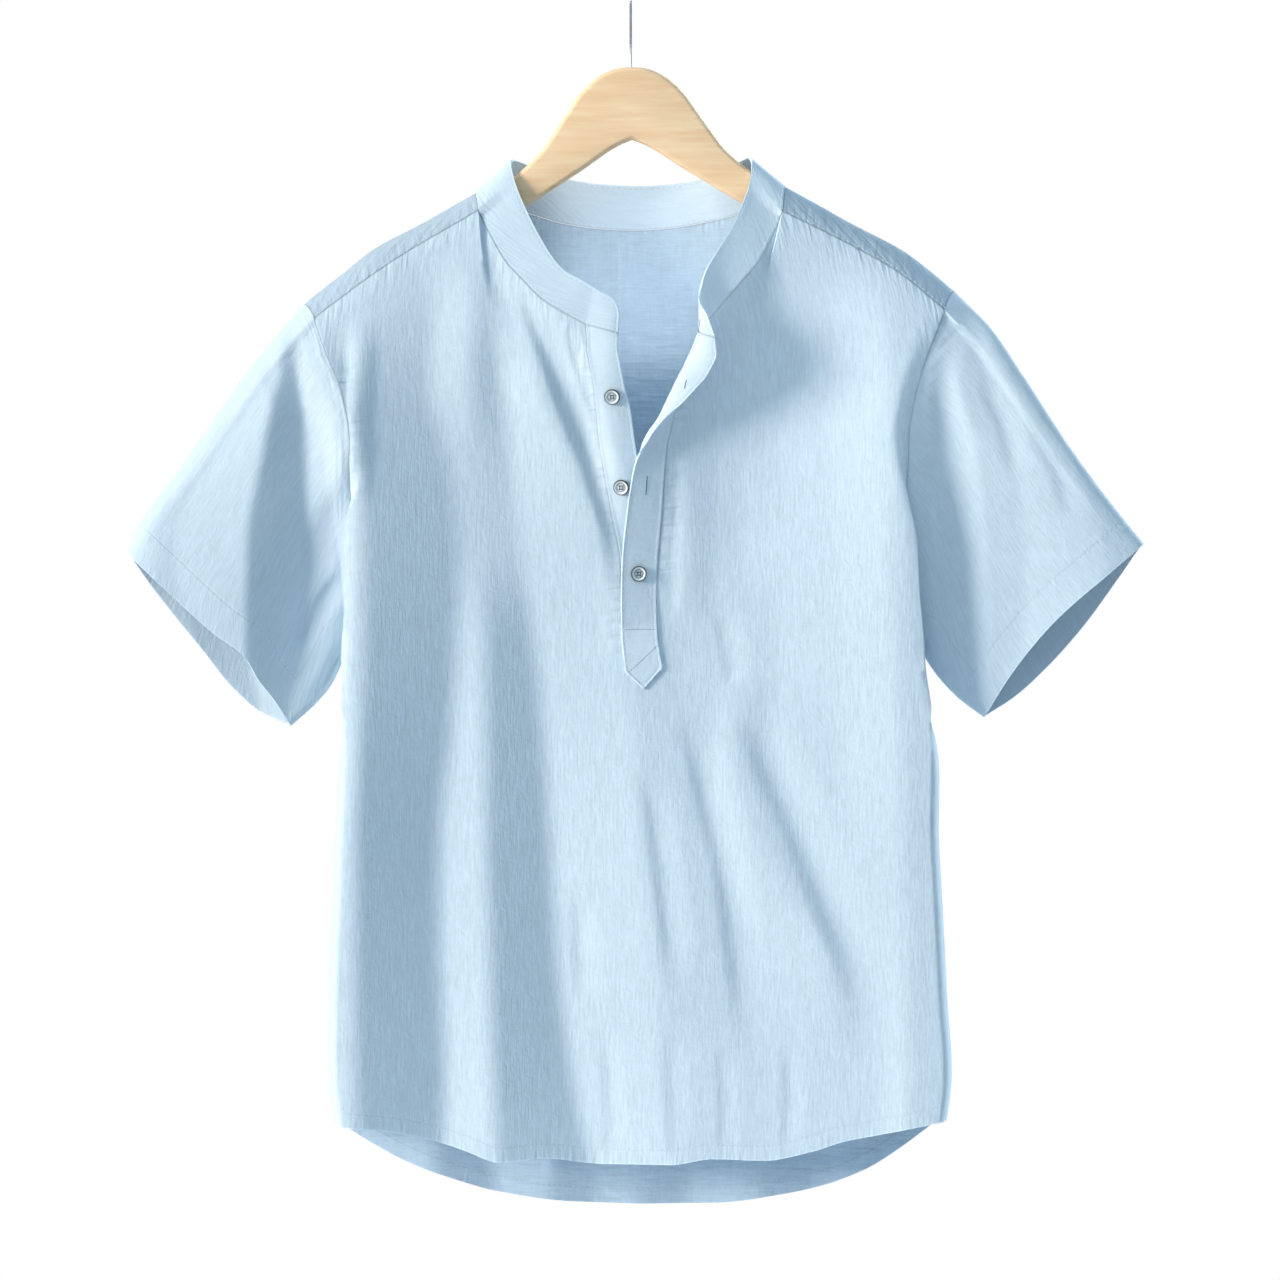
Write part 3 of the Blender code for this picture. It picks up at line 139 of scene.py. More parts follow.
# Soft folds. Each row is the line of one crest or hollow, with its x and how far
# the cloth sinks towards the middle plane, at each of the heights on the first line.
FRONT_FOLD_HEIGHTS = (-205, -244, -304, -372, -440, -509, -577, -652, -743, -834, -897)
FRONT_FOLDS = {
    "left edge":       [(-205, 0), (-212, 0), (-215, 2), (-216, 4), (-217, 7), (-218, 7),
                        (-219, 6), (-222, 4), (-224, 3), (-224, 3), (-222, 3)],
    "left roll":       [(-190, 0), (-202, 0), (-204, 0), (-205, 0), (-206, 0), (-207, 0),
                        (-207, 0), (-208, 0), (-208, 0), (-207, 0), (-207, 0)],
    "left hollow":     [(-150, 0), (-147, 3), (-152, 8), (-137, 15), (-130, 19), (-133, 21),
                        (-138, 22), (-146, 22), (-145, 21), (-141, 21), (-143, 18)],
    "left crest":      [(-121, 0), (-118, -2), (-120, 3), (-114, 15), (-113, 19), (-110, 18),
                        (-109, 17), (-109, 15), (-106, 13), (-104, 12), (-101, 9)],
    "second hollow":   [(-99, 0), (-104, 0), (-97, 7), (-90, 17), (-83, 22), (-73, 28),
                        (-66, 29), (-61, 29), (-56, 28), (-44, 29), (-30, 26)],
    "slanted crest":   [(-80, 0), (-75, -3), (-68, -2), (-40, 7), (-23, 15), (-8, 20),
                        (6, 18), (8, 16), (19, 14), (24, 16), (32, 13)],
    "by the placket":  [(-60, 0), (-58, 1), (-53, 1), (-24, 10), (12, 18), (34, 21),
                        (42, 18), (42, 15), (52, 13), (58, 14), (62, 12)],
    "middle":          [(40, 2), (45, 5), (55, 9), (62, 14), (66, 18), (66, 20),
                        (60, 18), (56, 15), (104, 12), (100, 12), (104, 10)],
    "diagonal crest":  [(75, 2), (80, 5), (84, 12), (84, 15), (84, 18), (90, 18),
                        (80, 15), (100, 10), (148, 5), (162, 7), (166, 6)],
    "diagonal hollow": [(110, 2), (112, 8), (112, 13), (112, 14), (110, 15), (110, 17),
                        (105, 16), (127, 11), (168, 6), (176, 6), (180, 5)],
    "right slope":     [(150, 0), (152, 5), (152, 8.5), (152, 9), (153, 9), (156, 9.5),
                        (158, 10), (162, 7.5), (188, 4), (192, 4), (192, 4)],
    "right roll":      [(180, 0), (190, 0), (194, 0), (195, 0), (196, 0), (200, 0),
                        (203, 0), (205, 0), (208, 0), (208, 0), (206, 0)]}
# Sharper creases over them: depth of the crease (less than 0 stands out), its width
# on the left, and its line from one end to the other as x, z. On the right a crease
# runs out more gently.
FRONT_CREASES = [
    (-6, 30, (-12, -190), (-12, -262), (-8, -340), (0, -430)),
    (3.5, 11, (-88, -222), (-64, -279), (-49, -319), (-29, -370), (-14, -418), (-6, -470)),
    (1.3, 5, (-49, -258), (-41, -290), (-27, -330), (-21, -350)),
    (-1.8, 12, (44, -330), (44, -400), (42, -440), (40, -500)),
    (-3.0, 9, (-205, -255), (-206, -300), (-208, -345), (-208, -400)),
    (2.0, 14, (232, -262), (222, -296), (214, -335), (212, -385)),
    (2.2, 13, (43, -540), (47, -575), (71, -671), (86, -779), (89, -820)),
    (2.4, 16, (81, -535), (93, -570), (125, -640), (155, -717), (183, -785)),
    (1.7, 10, (9, -590), (17, -630), (24, -680), (31, -740), (33, -770)),
    (1.1, 9, (-40, -690), (-38, -740), (-35, -780)),
    (1.0, 9, (66, -475), (74, -510), (78, -540)),
    (0.9, 7, (-20, -790), (-16, -840), (-14, -899)),
    (0.9, 8, (30, -790), (31, -840), (34, -899)),
    (0.8, 7, (68, -800), (71, -850), (70, -899)),
    (0.8, 7, (118, -800), (120, -850), (116, -890))]
FOLD_ROUNDING = (-7, -4, -1.5, 1.5, 4, 7)   # places over which a crest or hollow is rounded
CREASE_ENDS = 3.5        # a crease fades out at both ends over its length divided by this


def smooth(t):
    """Soft step from 0 to 1."""
    t = np.clip(t, 0, 1)
    return t * t * (3 - 2 * t)


def even_slopes(knots, values):
    """Slopes at the knots which keep the curve from swinging past its values."""
    steps = np.diff(values) / np.diff(knots)
    before, after = steps[:-1], steps[1:]
    total = np.where(before * after > 0, before + after, 1)
    inner = np.where(before * after > 0, 2 * before * after / total, 0)
    return np.concatenate((steps[:1], inner, steps[-1:]))


def cubic(knots, values, where):
    """Read a smooth curve through values at rising knots."""
    knots = np.asarray(knots, float)
    values = np.asarray(values, float)
    where = np.clip(where, knots[0], knots[-1])
    if values.ndim > 1:
        slopes = np.gradient(values, knots, axis=0)
    else:
        slopes = even_slopes(knots, values)
    k = np.clip(np.searchsorted(knots, where, side="right") - 1, 0, len(knots) - 2)
    span = knots[k + 1] - knots[k]
    t = (where - knots[k]) / span
    if values.ndim > 1:
        span = span[..., None]
        t = t[..., None]
    return (values[k] * (1 + 2 * t) * (1 - t) ** 2 + values[k + 1] * t * t * (3 - 2 * t)
            + slopes[k] * span * t * (1 - t) ** 2 - slopes[k + 1] * span * t * t * (1 - t))


def along(points, fractions):
    """Points at these fractions of the length of a smooth curve through the given points."""
    points = np.asarray(points, float)
    steps = np.linalg.norm(np.diff(points, axis=0), axis=1)
    knots = np.concatenate(([0], np.cumsum(steps))) / steps.sum()
    return cubic(knots, points, np.asarray(fractions, float))


def by_height(table, z, column=1):
    """Read one column of a table at the heights z, which stand in its first column."""
    rows = sorted(table, key=lambda row: row[0])
    return cubic([row[0] for row in rows], [row[column] for row in rows], z)


def by_width(table, x):
    """Read the height of a table of x, z at the places x."""
    return cubic([row[0] for row in table], [row[1] for row in table], x)


def hang(x, z, depth, radius):
    """Distance from the middle plane of cloth that falls from the ridge of the shoulders."""
    drop = np.maximum(by_width(RIDGE, x) - z, 0)
    return depth * (1 - np.exp(-np.sqrt(2 * radius * drop) / depth))


def fold_depth(folds, heights, x, z, rounding=FOLD_ROUNDING):
    """How far the cloth sinks at x, z, read between the lines of crests and hollows."""
    order = np.argsort(heights)
    knots = np.asarray(heights, float)[order]
    lines = [np.asarray(row, float)[order] for row in folds.values()]
    places = [cubic(knots, line[:, 0], z) for line in lines]
    sinks = [cubic(knots, line[:, 1], z) for line in lines]
    result = 0 * x
    for offset in rounding:
        level = sinks[0]
        for k in range(len(lines) - 1):
            step = np.clip((x + offset - places[k]) / np.maximum(places[k + 1] - places[k], 1), 0, 1)
            level = level + (sinks[k + 1] - sinks[k]) * step
        result = result + level / len(rounding)
    return result


def crease_depth(creases, x, z):
    """How far the cloth sinks at x, z in the sharper creases."""
    result = 0 * x
    for depth, width, *line in creases:
        line = np.array(line, float)
        steps = np.linalg.norm(np.diff(line, axis=0), axis=1)
        near = np.full(np.shape(x), 1e9)
        place = np.zeros(np.shape(x))
        reach = np.ones(np.shape(x))
        for k, step in enumerate(steps):
            (ax, az), (bx, bz) = line[k], line[k + 1]
            t = np.clip(((x - ax) * (bx - ax) + (z - az) * (bz - az)) / step ** 2, 0, 1)
            away = np.hypot(x - ax - t * (bx - ax), z - az - t * (bz - az))
            run = (steps[:k].sum() + t * step) / steps.sum()
            place = np.where(away < near, run, place)
            reach = np.where(away < near, 1 + (x > ax + t * (bx - ax)), reach)
            near = np.minimum(near, away)
        across = (1 + np.cos(np.pi * np.clip(near / width / reach, 0, 1))) / 2
        result = result + depth * across * smooth(np.minimum(place, 1 - place) * CREASE_ENDS)
    return result


def front_y(x, z):
    """Depth of the front's surface."""
    x = np.asarray(x, float)
    z = np.asarray(z, float)
    sink = fold_depth(FRONT_FOLDS, FRONT_FOLD_HEIGHTS, x, z) + crease_depth(FRONT_CREASES, x, z)
    return sink - hang(x, z, FRONT_DEPTH, RIDGE_RADIUS)


def edge_fade(distance, width, round_share):
    """1 at an edge, 0 beyond the width: a round turn for a share of 1, a soft one for 0."""
    t = np.clip(distance / width, 0, 1)
    round_turn = 1 - np.sqrt(np.maximum(1 - (1 - t) ** 2, 0))
    soft_turn = (1 - t) ** 2
    return round_turn * round_share + soft_turn * (1 - round_share)


def edge_steps():
    """Distances of the columns in the rounded stretch from its seam."""
    turn = np.linspace(0, math.pi / 2, EDGE_COLUMNS + 1)
    return EDGE_WIDTH * (1 - np.cos(turn))


def join(*runs):
    """One run of points or numbers from several that share their end points."""
    return np.concatenate([runs[0]] + [run[1:] for run in runs[1:]])


def half_row(outer, inner, side):
    """Places across one half of the body at the underarm, from the seam to the slot."""
    sign = 1 if side == "left" else -1
    near = outer + sign * edge_steps()
    rest = np.linspace(near[-1], inner, SHOULDER_COLUMNS + NECK_COLUMNS + 1)
    return join(near, rest)


def upper_fractions():
    """Heights of the rows above the underarm, closer together near it."""
    return np.linspace(0, 1, UPPER_ROWS + 1) ** UPPER_CROWDING


def turn_roundness(heights):
    """How round the body turns in at the armhole: 1 in its lower part, 0 by the shoulder."""
    return smooth(1.6 - 2.2 * heights)[:, None]


def coons(bottom, top, first, last, u, v):
    """Points of a patch between four curves. u runs along the rows, v up the columns."""
    u = u[None, :, None]
    v = v[:, None, None]
    ruled = (1 - u) * first[:, None] + u * last[:, None] + (1 - v) * bottom + v * top
    corners = ((1 - u) * (1 - v) * bottom[0] + u * (1 - v) * bottom[-1]
               + (1 - u) * v * top[0] + u * v * top[-1])
    return ruled - corners


def share(values):
    """Place of each value between the first and the last, as 0 to 1."""
    return (values - values[0]) / (values[-1] - values[0])


def shoulder_line(side):
    """Points of the shoulder seam from the armhole to the neck."""
    seam = np.array(SHOULDER_SEAM[side], float)
    length = np.linalg.norm(np.diff(seam, axis=0), axis=1).sum()
    near = edge_steps() / length
    rest = np.linspace(near[-1], 1, SHOULDER_COLUMNS + 1)
    places = along(seam, join(near, rest))
    depth = -hang(places[:, 0], places[:, 1], FRONT_DEPTH, RIDGE_RADIUS)
    return np.column_stack((places[:, 0], depth, places[:, 1]))


def side_seam(side):
    """Points of a side seam from the underarm to the hem."""
    rows = np.linspace(0, 1, LOWER_ROWS + 1)
    places = along(SIDE_SEAM[side], rows)
    depth = UNDERARM_DEPTH * (1 - smooth(rows * 4))     # gone after the upper quarter
    return np.column_stack((places[:, 0], depth, places[:, 1]))


def slot_edge(side):
    """Points of the placket slot's edge from its lower end to the neckline."""
    rows = upper_fractions()
    top = np.array(NECKLINE[side][-1], float)
    z = UNDERARM + (top[2] - UNDERARM) * rows
    if side == "left":
        x = by_height(UNDER_SEAM, z)
        corner = front_y(top[0], top[2]) - top[1]
        forward = corner * smooth(1 - (top[2] - z) / CORNER_REACH)
    else:
        x = by_height(OVER_SEAM, z)
        forward = by_height(OVER_SEAM, z, 2)
        miss = front_y(top[0], top[2]) - top[1] - forward[-1]
        forward = forward + miss * smooth(rows * 4 - 3)     # in the top quarter only
    points = np.column_stack((x, front_y(x, z) - forward, z))
    points[-1] = top
    return points


def roll_out(side, z, distance):
    """How far the body's edge stands out sideways at this distance from the seam."""
    roll = by_height(EDGE_ROLL[side], z)
    return roll * np.sin(np.pi * np.clip(distance / EDGE_WIDTH, 0, 1)) ** 2


def front_upper(side):
    """Half of the front above the underarm, rows from the bottom, columns from the left."""
    sign = 1 if side == "left" else -1
    armhole = along(ARMHOLE_FRONT[side], 1 - upper_fractions())
    slot = slot_edge(side)
    places = half_row(armhole[0, 0], SLOT_LEFT if side == "left" else SLOT_RIGHT, side)
    neck_column = EDGE_COLUMNS + SHOULDER_COLUMNS
    neckline = along(NECKLINE[side], 1 - np.linspace(1, 0, NECK_COLUMNS + 1) ** NECK_CROWDING)
    top = join(shoulder_line(side), neckline)
    top[neck_column] = shoulder_line(side)[-1]
    bottom = np.column_stack((places, 0 * places, np.full(len(places), UNDERARM)))
    v = upper_fractions()
    points = coons(bottom, top, armhole, slot, share(places), v)
    x, z = points[..., 0], points[..., 2]
    out = np.abs(x - armhole[:, 0][:, None])
    rolled = x - sign * roll_out(side, z, out)
    at_armhole = (armhole[:, 1] - front_y(armhole[:, 0], armhole[:, 2]))[:, None]
    at_slot = (slot[:, 1] - front_y(slot[:, 0], slot[:, 2]))[:, None]
    to_slot = np.abs(x - slot[:, 0][:, None])
    y = (front_y(rolled, z) + at_armhole * edge_fade(out, EDGE_TURN, turn_roundness(v))
         + at_slot * edge_fade(to_slot, SLOT_REACH, 0))
    miss = top[:, 1] - y[-1]
    y = y + miss[None, :] * smooth(1 - (top[:, 2][None, :] - z) / TOP_REACH)
    points[..., 0] = rolled
    points[..., 1] = y
    points[:, 0] = armhole
    points[:, -1] = slot
    points[-1] = top
    return points if side == "left" else points[:, ::-1]


def lower(surface, hem, row):
    """Body below the underarm, rows from the underarm down, columns from the left."""
    left, right = side_seam("left"), side_seam("right")
    inner_left = left[:, 0] + EDGE_WIDTH
    inner_right = right[:, 0] - EDGE_WIDTH
    spread = share(row[EDGE_COLUMNS:-EDGE_COLUMNS])
    x = np.hstack((left[:, 0][:, None] + edge_steps()[None, :-1],
                   inner_left[:, None] + (inner_right - inner_left)[:, None] * spread,
                   right[:, 0][:, None] - edge_steps()[None, -2::-1]))
    fraction = np.linspace(0, 1, LOWER_ROWS + 1)[:, None]
    across = share(x[0])
    seam_z = left[:, 2][:, None] * (1 - across) + right[:, 2][:, None] * across
    depth = by_width(hem, x) - (left[-1, 2] * (1 - across) + right[-1, 2] * across)
    z = seam_z + depth * fraction ** 2
    turn_width = SEAM_TURN + (EDGE_TURN - SEAM_TURN) * smooth(1 - (UNDERARM - z) / TURN_EASE)
    turns = 0
    for side, seam, sign in (("left", left, 1), ("right", right, -1)):
        out = np.abs(x - seam[:, 0][:, None])
        miss = (seam[:, 1] - surface(seam[:, 0], seam[:, 2]))[:, None]
        turns = turns + miss * edge_fade(out, turn_width, 1)
        if surface is front_y:
            x = x - sign * roll_out(side, z, out)
    y = surface(x, z) + turns
    points = np.stack((x, y, z), axis=-1)
    points[:, 0] = left
    points[:, -1] = right
    return points


upper_left = front_upper("left")
upper_right = front_upper("right")
front_row = join(half_row(ARMHOLE_FRONT["left"][-1][0], SLOT_LEFT, "left"),
                 np.linspace(SLOT_LEFT, SLOT_RIGHT, SLOT_COLUMNS + 1),
                 half_row(ARMHOLE_FRONT["right"][-1][0], SLOT_RIGHT, "right")[::-1])
front_lower = lower(front_y, FRONT_HEM, front_row)
upper_left[0] = front_lower[0, :upper_left.shape[1]]
upper_right[0] = front_lower[0, -upper_right.shape[1]:]


# ---------------------------------------------------------------------------
# Back of the shirt, one panel of the same cloth. It is taken over the hanger's
# arms to the forward shoulder seams, has a small pleat stitched down below the
# collar, and its curved hem hangs lower than the front's.
BACK_DEPTH = 31.0
NECK_RADIUS = 19.0       # roundness behind the neck, where the band holds it open
NECK_REACH = 185.0       # it begins this far from the middle
NECK_EASE = 65.0         # and is full this much further in
NECK_FALL = 60.0         # the depth of the neckline is felt this far down the back
RIDGE_OUT = 2.3          # the ridge stands this far outside the shoulder seam at the neck,
RIDGE_SPREAD = 6         # and this much more at the armhole
BACK_NECK_COLUMNS = 74
RIDGE_ROWS = 9
# Armhole from behind the ridge to the underarm: x, y, z.
ARMHOLE_BACK = {
    "left": [(-245.6, 11.3, -258.4), (-243.5, 16, -276), (-238.1, 21, -304.2),
             (-230.5, 24, -342), (-224.5, 24, -380), (-219.2, 20, -417.7),
             (-213.9, 16, -463), (-211.6, 12, -485), (-210.8, 4, -501)],
    "right": [(245.4, 11.3, -250), (243.4, 16, -266), (236.6, 21, -298), (229, 24, -338),
              (223, 24, -378), (218.4, 20, -417.7), (216.6, 16, -463), (216.5, 12, -485),
              (216.9, 4, -501)]}
BACK_HEM = [(-223.9, -867.4), (-198, -883.3), (-168.4, -898.5), (-135.1, -911),
            (-102.6, -920.5), (-40.1, -928.5), (12.5, -930), (61.7, -929.5), (110.9, -923.5),
            (143.5, -917), (176.8, -904.5), (202.5, -889.5), (238.8, -862.8)]
# Neckline from behind the left ridge round to the right: x, y, z.
BACK_NECK = [(-113, 12, -170.5), (-98, 22, -172.5), (-78.4, 28, -176), (-57.2, 32, -182.3),
             (-28.4, 34, -187), (0, 35, -188.5), (29.9, 34, -187), (58.7, 32, -182.3),
             (77.6, 28, -178), (97, 22, -170), (112.5, 12, -166)]
BACK_FOLD_HEIGHTS = (-205, -330, -430, -501, -622, -743, -910)
BACK_FOLDS = {
    "left roll":     [(-190, 0), (-204, 0), (-207, 0), (-209, 0), (-211, 0), (-212, 0), (-211, 0)],
    "left hollow":   [(-160, 0), (-160, 5), (-158, 9), (-156, 11), (-152, 12), (-150, 12), (-148, 10)],
    "left crest":    [(-118, 0), (-118, 2), (-117, 4), (-116, 5), (-112, 4), (-108, 3), (-104, 2)],
    "inner hollow":  [(-70, 0), (-68, 4), (-66, 8), (-64, 10), (-62, 11), (-60, 10), (-62, 8)],
    "pleat left":    [(-20, 0), (-22, 2), (-26, 5), (-28, 6), (-30, 5), (-28, 4), (-26, 3)],
    "pleat middle":  [(-6, 3), (-6, 4), (-4, 7), (-2, 8), (2, 8), (6, 7), (8, 6)],
    "pleat right":   [(12, 0), (16, 2), (24, 5), (28, 6), (34, 4), (38, 3), (42, 2)],
    "outer hollow":  [(70, 0), (74, 4), (78, 8), (82, 10), (86, 12), (90, 12), (94, 9)],
    "right crest":   [(120, 0), (124, 3), (128, 6), (130, 7), (134, 6), (138, 4), (140, 3)],
    "right hollow":  [(160, 0), (162, 5), (164, 9), (166, 11), (170, 11), (174, 10), (176, 7)],
    "right roll":    [(180, 0), (192, 0), (198, 0), (202, 0), (206, 0), (208, 0), (206, 0)]}
# The first is the pleat's stitched edge. Between the others the back hangs in soft folds.
BACK_CREASES = [
    (-2.6, 3.6, (-8.7, -178), (-8.7, -362)),
    (5.0, 20, (-192, -320), (-150, -372), (-110, -432), (-78, -500)),
    (5.6, 20, (194, -315), (152, -374), (118, -440), (84, -520)),
    (3.0, 13, (-196, -420), (-168, -470), (-140, -540)),
    (2.8, 12, (198, -430), (172, -478), (150, -530)),
    (6.5, 26, (-26, -470), (-40, -590), (-68, -710), (-88, -830), (-92, -918)),
    (7.0, 28, (56, -480), (78, -600), (108, -710), (136, -830), (142, -905)),
    (4.5, 18, (-122, -540), (-130, -660), (-152, -790), (-158, -890)),
    (4.0, 17, (18, -560), (26, -680), (24, -800), (20, -924)),
    (2.0, 9, (-60, -790), (-57, -850), (-62, -918)),
    (1.8, 9, (72, -785), (75, -858), (71, -918)),
    (1.6, 8, (172, -760), (170, -830), (166, -885))]


def back_y(x, z):
    """Depth of the back's surface."""
    x = np.asarray(x, float)
    z = np.asarray(z, float)
    nearness = smooth((NECK_REACH - np.abs(x)) / NECK_EASE)
    radius = RIDGE_RADIUS + (NECK_RADIUS - RIDGE_RADIUS) * nearness
    sink = fold_depth(BACK_FOLDS, BACK_FOLD_HEIGHTS, x, z) + crease_depth(BACK_CREASES, x, z)
    return hang(x, z, BACK_DEPTH, radius) - sink


def shoulder_wrap(side):
    """Cloth over the hanger's arm: rows from behind the ridge to the shoulder seam."""
    seam = shoulder_line(side)
    sign = -1 if side == "left" else 1
    behind_armhole = np.array(ARMHOLE_BACK[side][0], float)
    behind_neck = np.array(BACK_NECK[0] if side == "left" else BACK_NECK[-1], float)
    ridge_x = seam[:, 0] + sign * RIDGE_SPREAD * share(seam[:, 0])[::-1] + sign * RIDGE_OUT
    ridge_z = by_width(RIDGE, ridge_x)
    t = share(seam[:, 0])
    behind_x = behind_armhole[0] * (1 - t) + behind_neck[0] * t
    behind_y = behind_armhole[1] * (1 - t) + behind_neck[1] * t
    drop = by_width(RIDGE, behind_x) - behind_armhole[2] - (behind_neck[2] - behind_armhole[2]) * t
    drop = drop[0] * (1 - t) + drop[-1] * t
    behind = np.column_stack((behind_x, behind_y, by_width(RIDGE, behind_x) - drop))
    ridge = np.column_stack((ridge_x, 0 * ridge_x, ridge_z))
    rows = []
    for k in range(-RIDGE_ROWS, RIDGE_ROWS + 1):
        part = abs(k) / RIDGE_ROWS
        end = behind if k <= 0 else seam
        point = ridge + (end - ridge) * part
        point[:, 2] = ridge_z + (end[:, 2] - ridge_z) * part ** 2
        rows.append(point)
    return np.array(rows)


back_middle = SHOULDER_COLUMNS * 2 + BACK_NECK_COLUMNS
back_left = ARMHOLE_BACK["left"][-1][0] + edge_steps()
back_right = (ARMHOLE_BACK["right"][-1][0] - edge_steps())[::-1]
back_row = join(back_left, np.linspace(back_left[-1], back_right[0], back_middle + 1), back_right)
back_lower = lower(back_y, BACK_HEM, back_row)
wrap_left = shoulder_wrap("left")
wrap_right = shoulder_wrap("right")
back_top = join(wrap_left[0], along(BACK_NECK, np.linspace(0, 1, BACK_NECK_COLUMNS + 1)),
                wrap_right[0][::-1])
heights = upper_fractions()
left_armhole = along(ARMHOLE_BACK["left"], 1 - heights)
right_armhole = along(ARMHOLE_BACK["right"], 1 - heights)
left_armhole[-1], right_armhole[-1] = back_top[0], back_top[-1]
back_upper = coons(back_lower[0], back_top, left_armhole, right_armhole, share(back_row), heights)
back_depth = back_y(back_upper[..., 0], back_upper[..., 2])
for edge in (left_armhole, right_armhole):
    out = np.abs(back_upper[..., 0] - edge[:, 0][:, None])
    miss = (edge[:, 1] - back_y(edge[:, 0], edge[:, 2]))[:, None]
    back_depth += miss * edge_fade(out, EDGE_WIDTH, turn_roundness(heights))
under_neck = smooth(1 - (back_top[:, 2][None, :] - back_upper[..., 2]) / NECK_FALL)
back_upper[..., 1] = back_depth + (back_top[:, 1] - back_depth[-1])[None, :] * under_neck
back_upper[0], back_upper[-1] = back_lower[0], back_top
back_upper[:, 0], back_upper[:, -1] = left_armhole, right_armhole


# ---------------------------------------------------------------------------
# Sleeves, short and wide, each one piece of cloth closed under the arm. They
# hang folded flat from the shoulder, and the hem of the cuff is 25 mm deep.
SLEEVE_COLUMNS = 64
SLEEVE_TOP = {"left": [(-247, -247.5), (-278, -283), (-305, -319.5), (-344, -376), (-371, -413),
                       (-380.8, -435.5)],
              "right": [(247, -239.5), (272, -265), (296, -300), (334, -358), (373, -410),
                        (388, -428.3)]}
SLEEVE_UNDER = {"left": [(-210.8, -501), (-218.2, -517), (-228.5, -537), (-240, -550.2),
                         (-257.3, -565.8)],
                "right": [(216.9, -501), (225.5, -518), (246.8, -543.4), (267.6, -559.3)]}
CUFF_FRONT = {"left": [(-380.8, -435.5), (-349.4, -465), (-314.5, -496.4), (-290, -515.5),
                       (-281, -531.3), (-269.5, -546.4), (-257.3, -565.8)],
              "right": [(388, -428.3), (363, -449.5), (319, -488.5), (293.3, -519.1),
                        (278.9, -540.3), (267.6, -559.3)]}
CUFF_BACK = {"left": [(-380.8, -435.5), (-366.8, -456.3), (-349.4, -479), (-325.5, -508.5),
                      (-302, -537.5), (-281, -555.5), (-257.3, -565.8)],
             "right": [(388, -428.3), (369.8, -455.2), (341, -494.2), (316, -521.8),
                       (290.3, -544.9), (267.6, -559.3)]}
CUFF_DEPTH = {"front": 17.0, "back": 16.0}
SLEEVE_FOLD_HEIGHTS = (-262, -300, -357, -433, -509, -550)
SLEEVE_FOLDS = {
    "left": {
        "rim":    [(-262, 0), (-300, -2), (-336, -4), (-362, -4), (-345, -3), (-310, 0)],
        "outer":  [(-262, 0), (-287, -1), (-314, -2), (-344, -2), (-330, -1), (-300, 0)],
        "crest":  [(-262, 0), (-266, -4), (-277, -5), (-289, -5), (-289, -5), (-281, -2)],
        "hollow": [(-250, 0), (-251, 7), (-247, 13), (-245, 14), (-249, 13), (-260, 6)],
        "inner":  [(-238, 0), (-232, 2), (-222, 5), (-222, 6), (-228, 8), (-250, 4)]},
    "right": {
        "inner":  [(236, 0), (224, 1), (214, 2), (216, 3), (222, 4), (234, 2)],
        "hollow": [(240, 0), (229, 6), (237, 9), (246, 9), (252, 8), (257, 4)],
        "crest":  [(250, 0), (246, 0), (260, 3), (269, 4), (272, 4), (272, 2)],
        "slope":  [(257, 0), (268, 1), (288, 3), (298, 4), (296, 4), (290, 2)],
        "rim":    [(262, 0), (284, -3), (318, -4), (358, -4), (350, -3), (320, 0)]}}
SLEEVE_CREASES = {
    "front": {"left": [(4.2, 8, (-214, -445), (-240, -480), (-264, -517)),
                       (5.5, 5, (-221, -505), (-229, -527), (-238, -546)),
                       (1.2, 8, (-262, -330), (-275, -290), (-266, -275))],
              "right": [(1.4, 9, (300, -330), (322, -372), (334, -415)),
                        (1.0, 8, (262, -300), (282, -340), (292, -380))]},
    "back": {"left": [(2.4, 12, (-236, -330), (-262, -390), (-292, -452)),
                      (1.8, 9, (-226, -400), (-240, -450), (-262, -500))],
             "right": [(2.6, 12, (240, -330), (270, -392), (296, -455)),
                       (1.6, 9, (230, -405), (246, -455), (270, -498))]}}
SLEEVE_ROUNDING = (-3, -1, 1, 3)
SLEEVE_FLATNESS = {"left": 0.28, "right": 0.22}   # less is boxier, more slopes to the folds
RIGHT_TOP_SHARPNESS = 0.2    # the right sleeve is pressed flat towards its top; 1 leaves it round
BEHIND_SHARE = 0.6           # folds on the backs of the sleeves are this much as deep


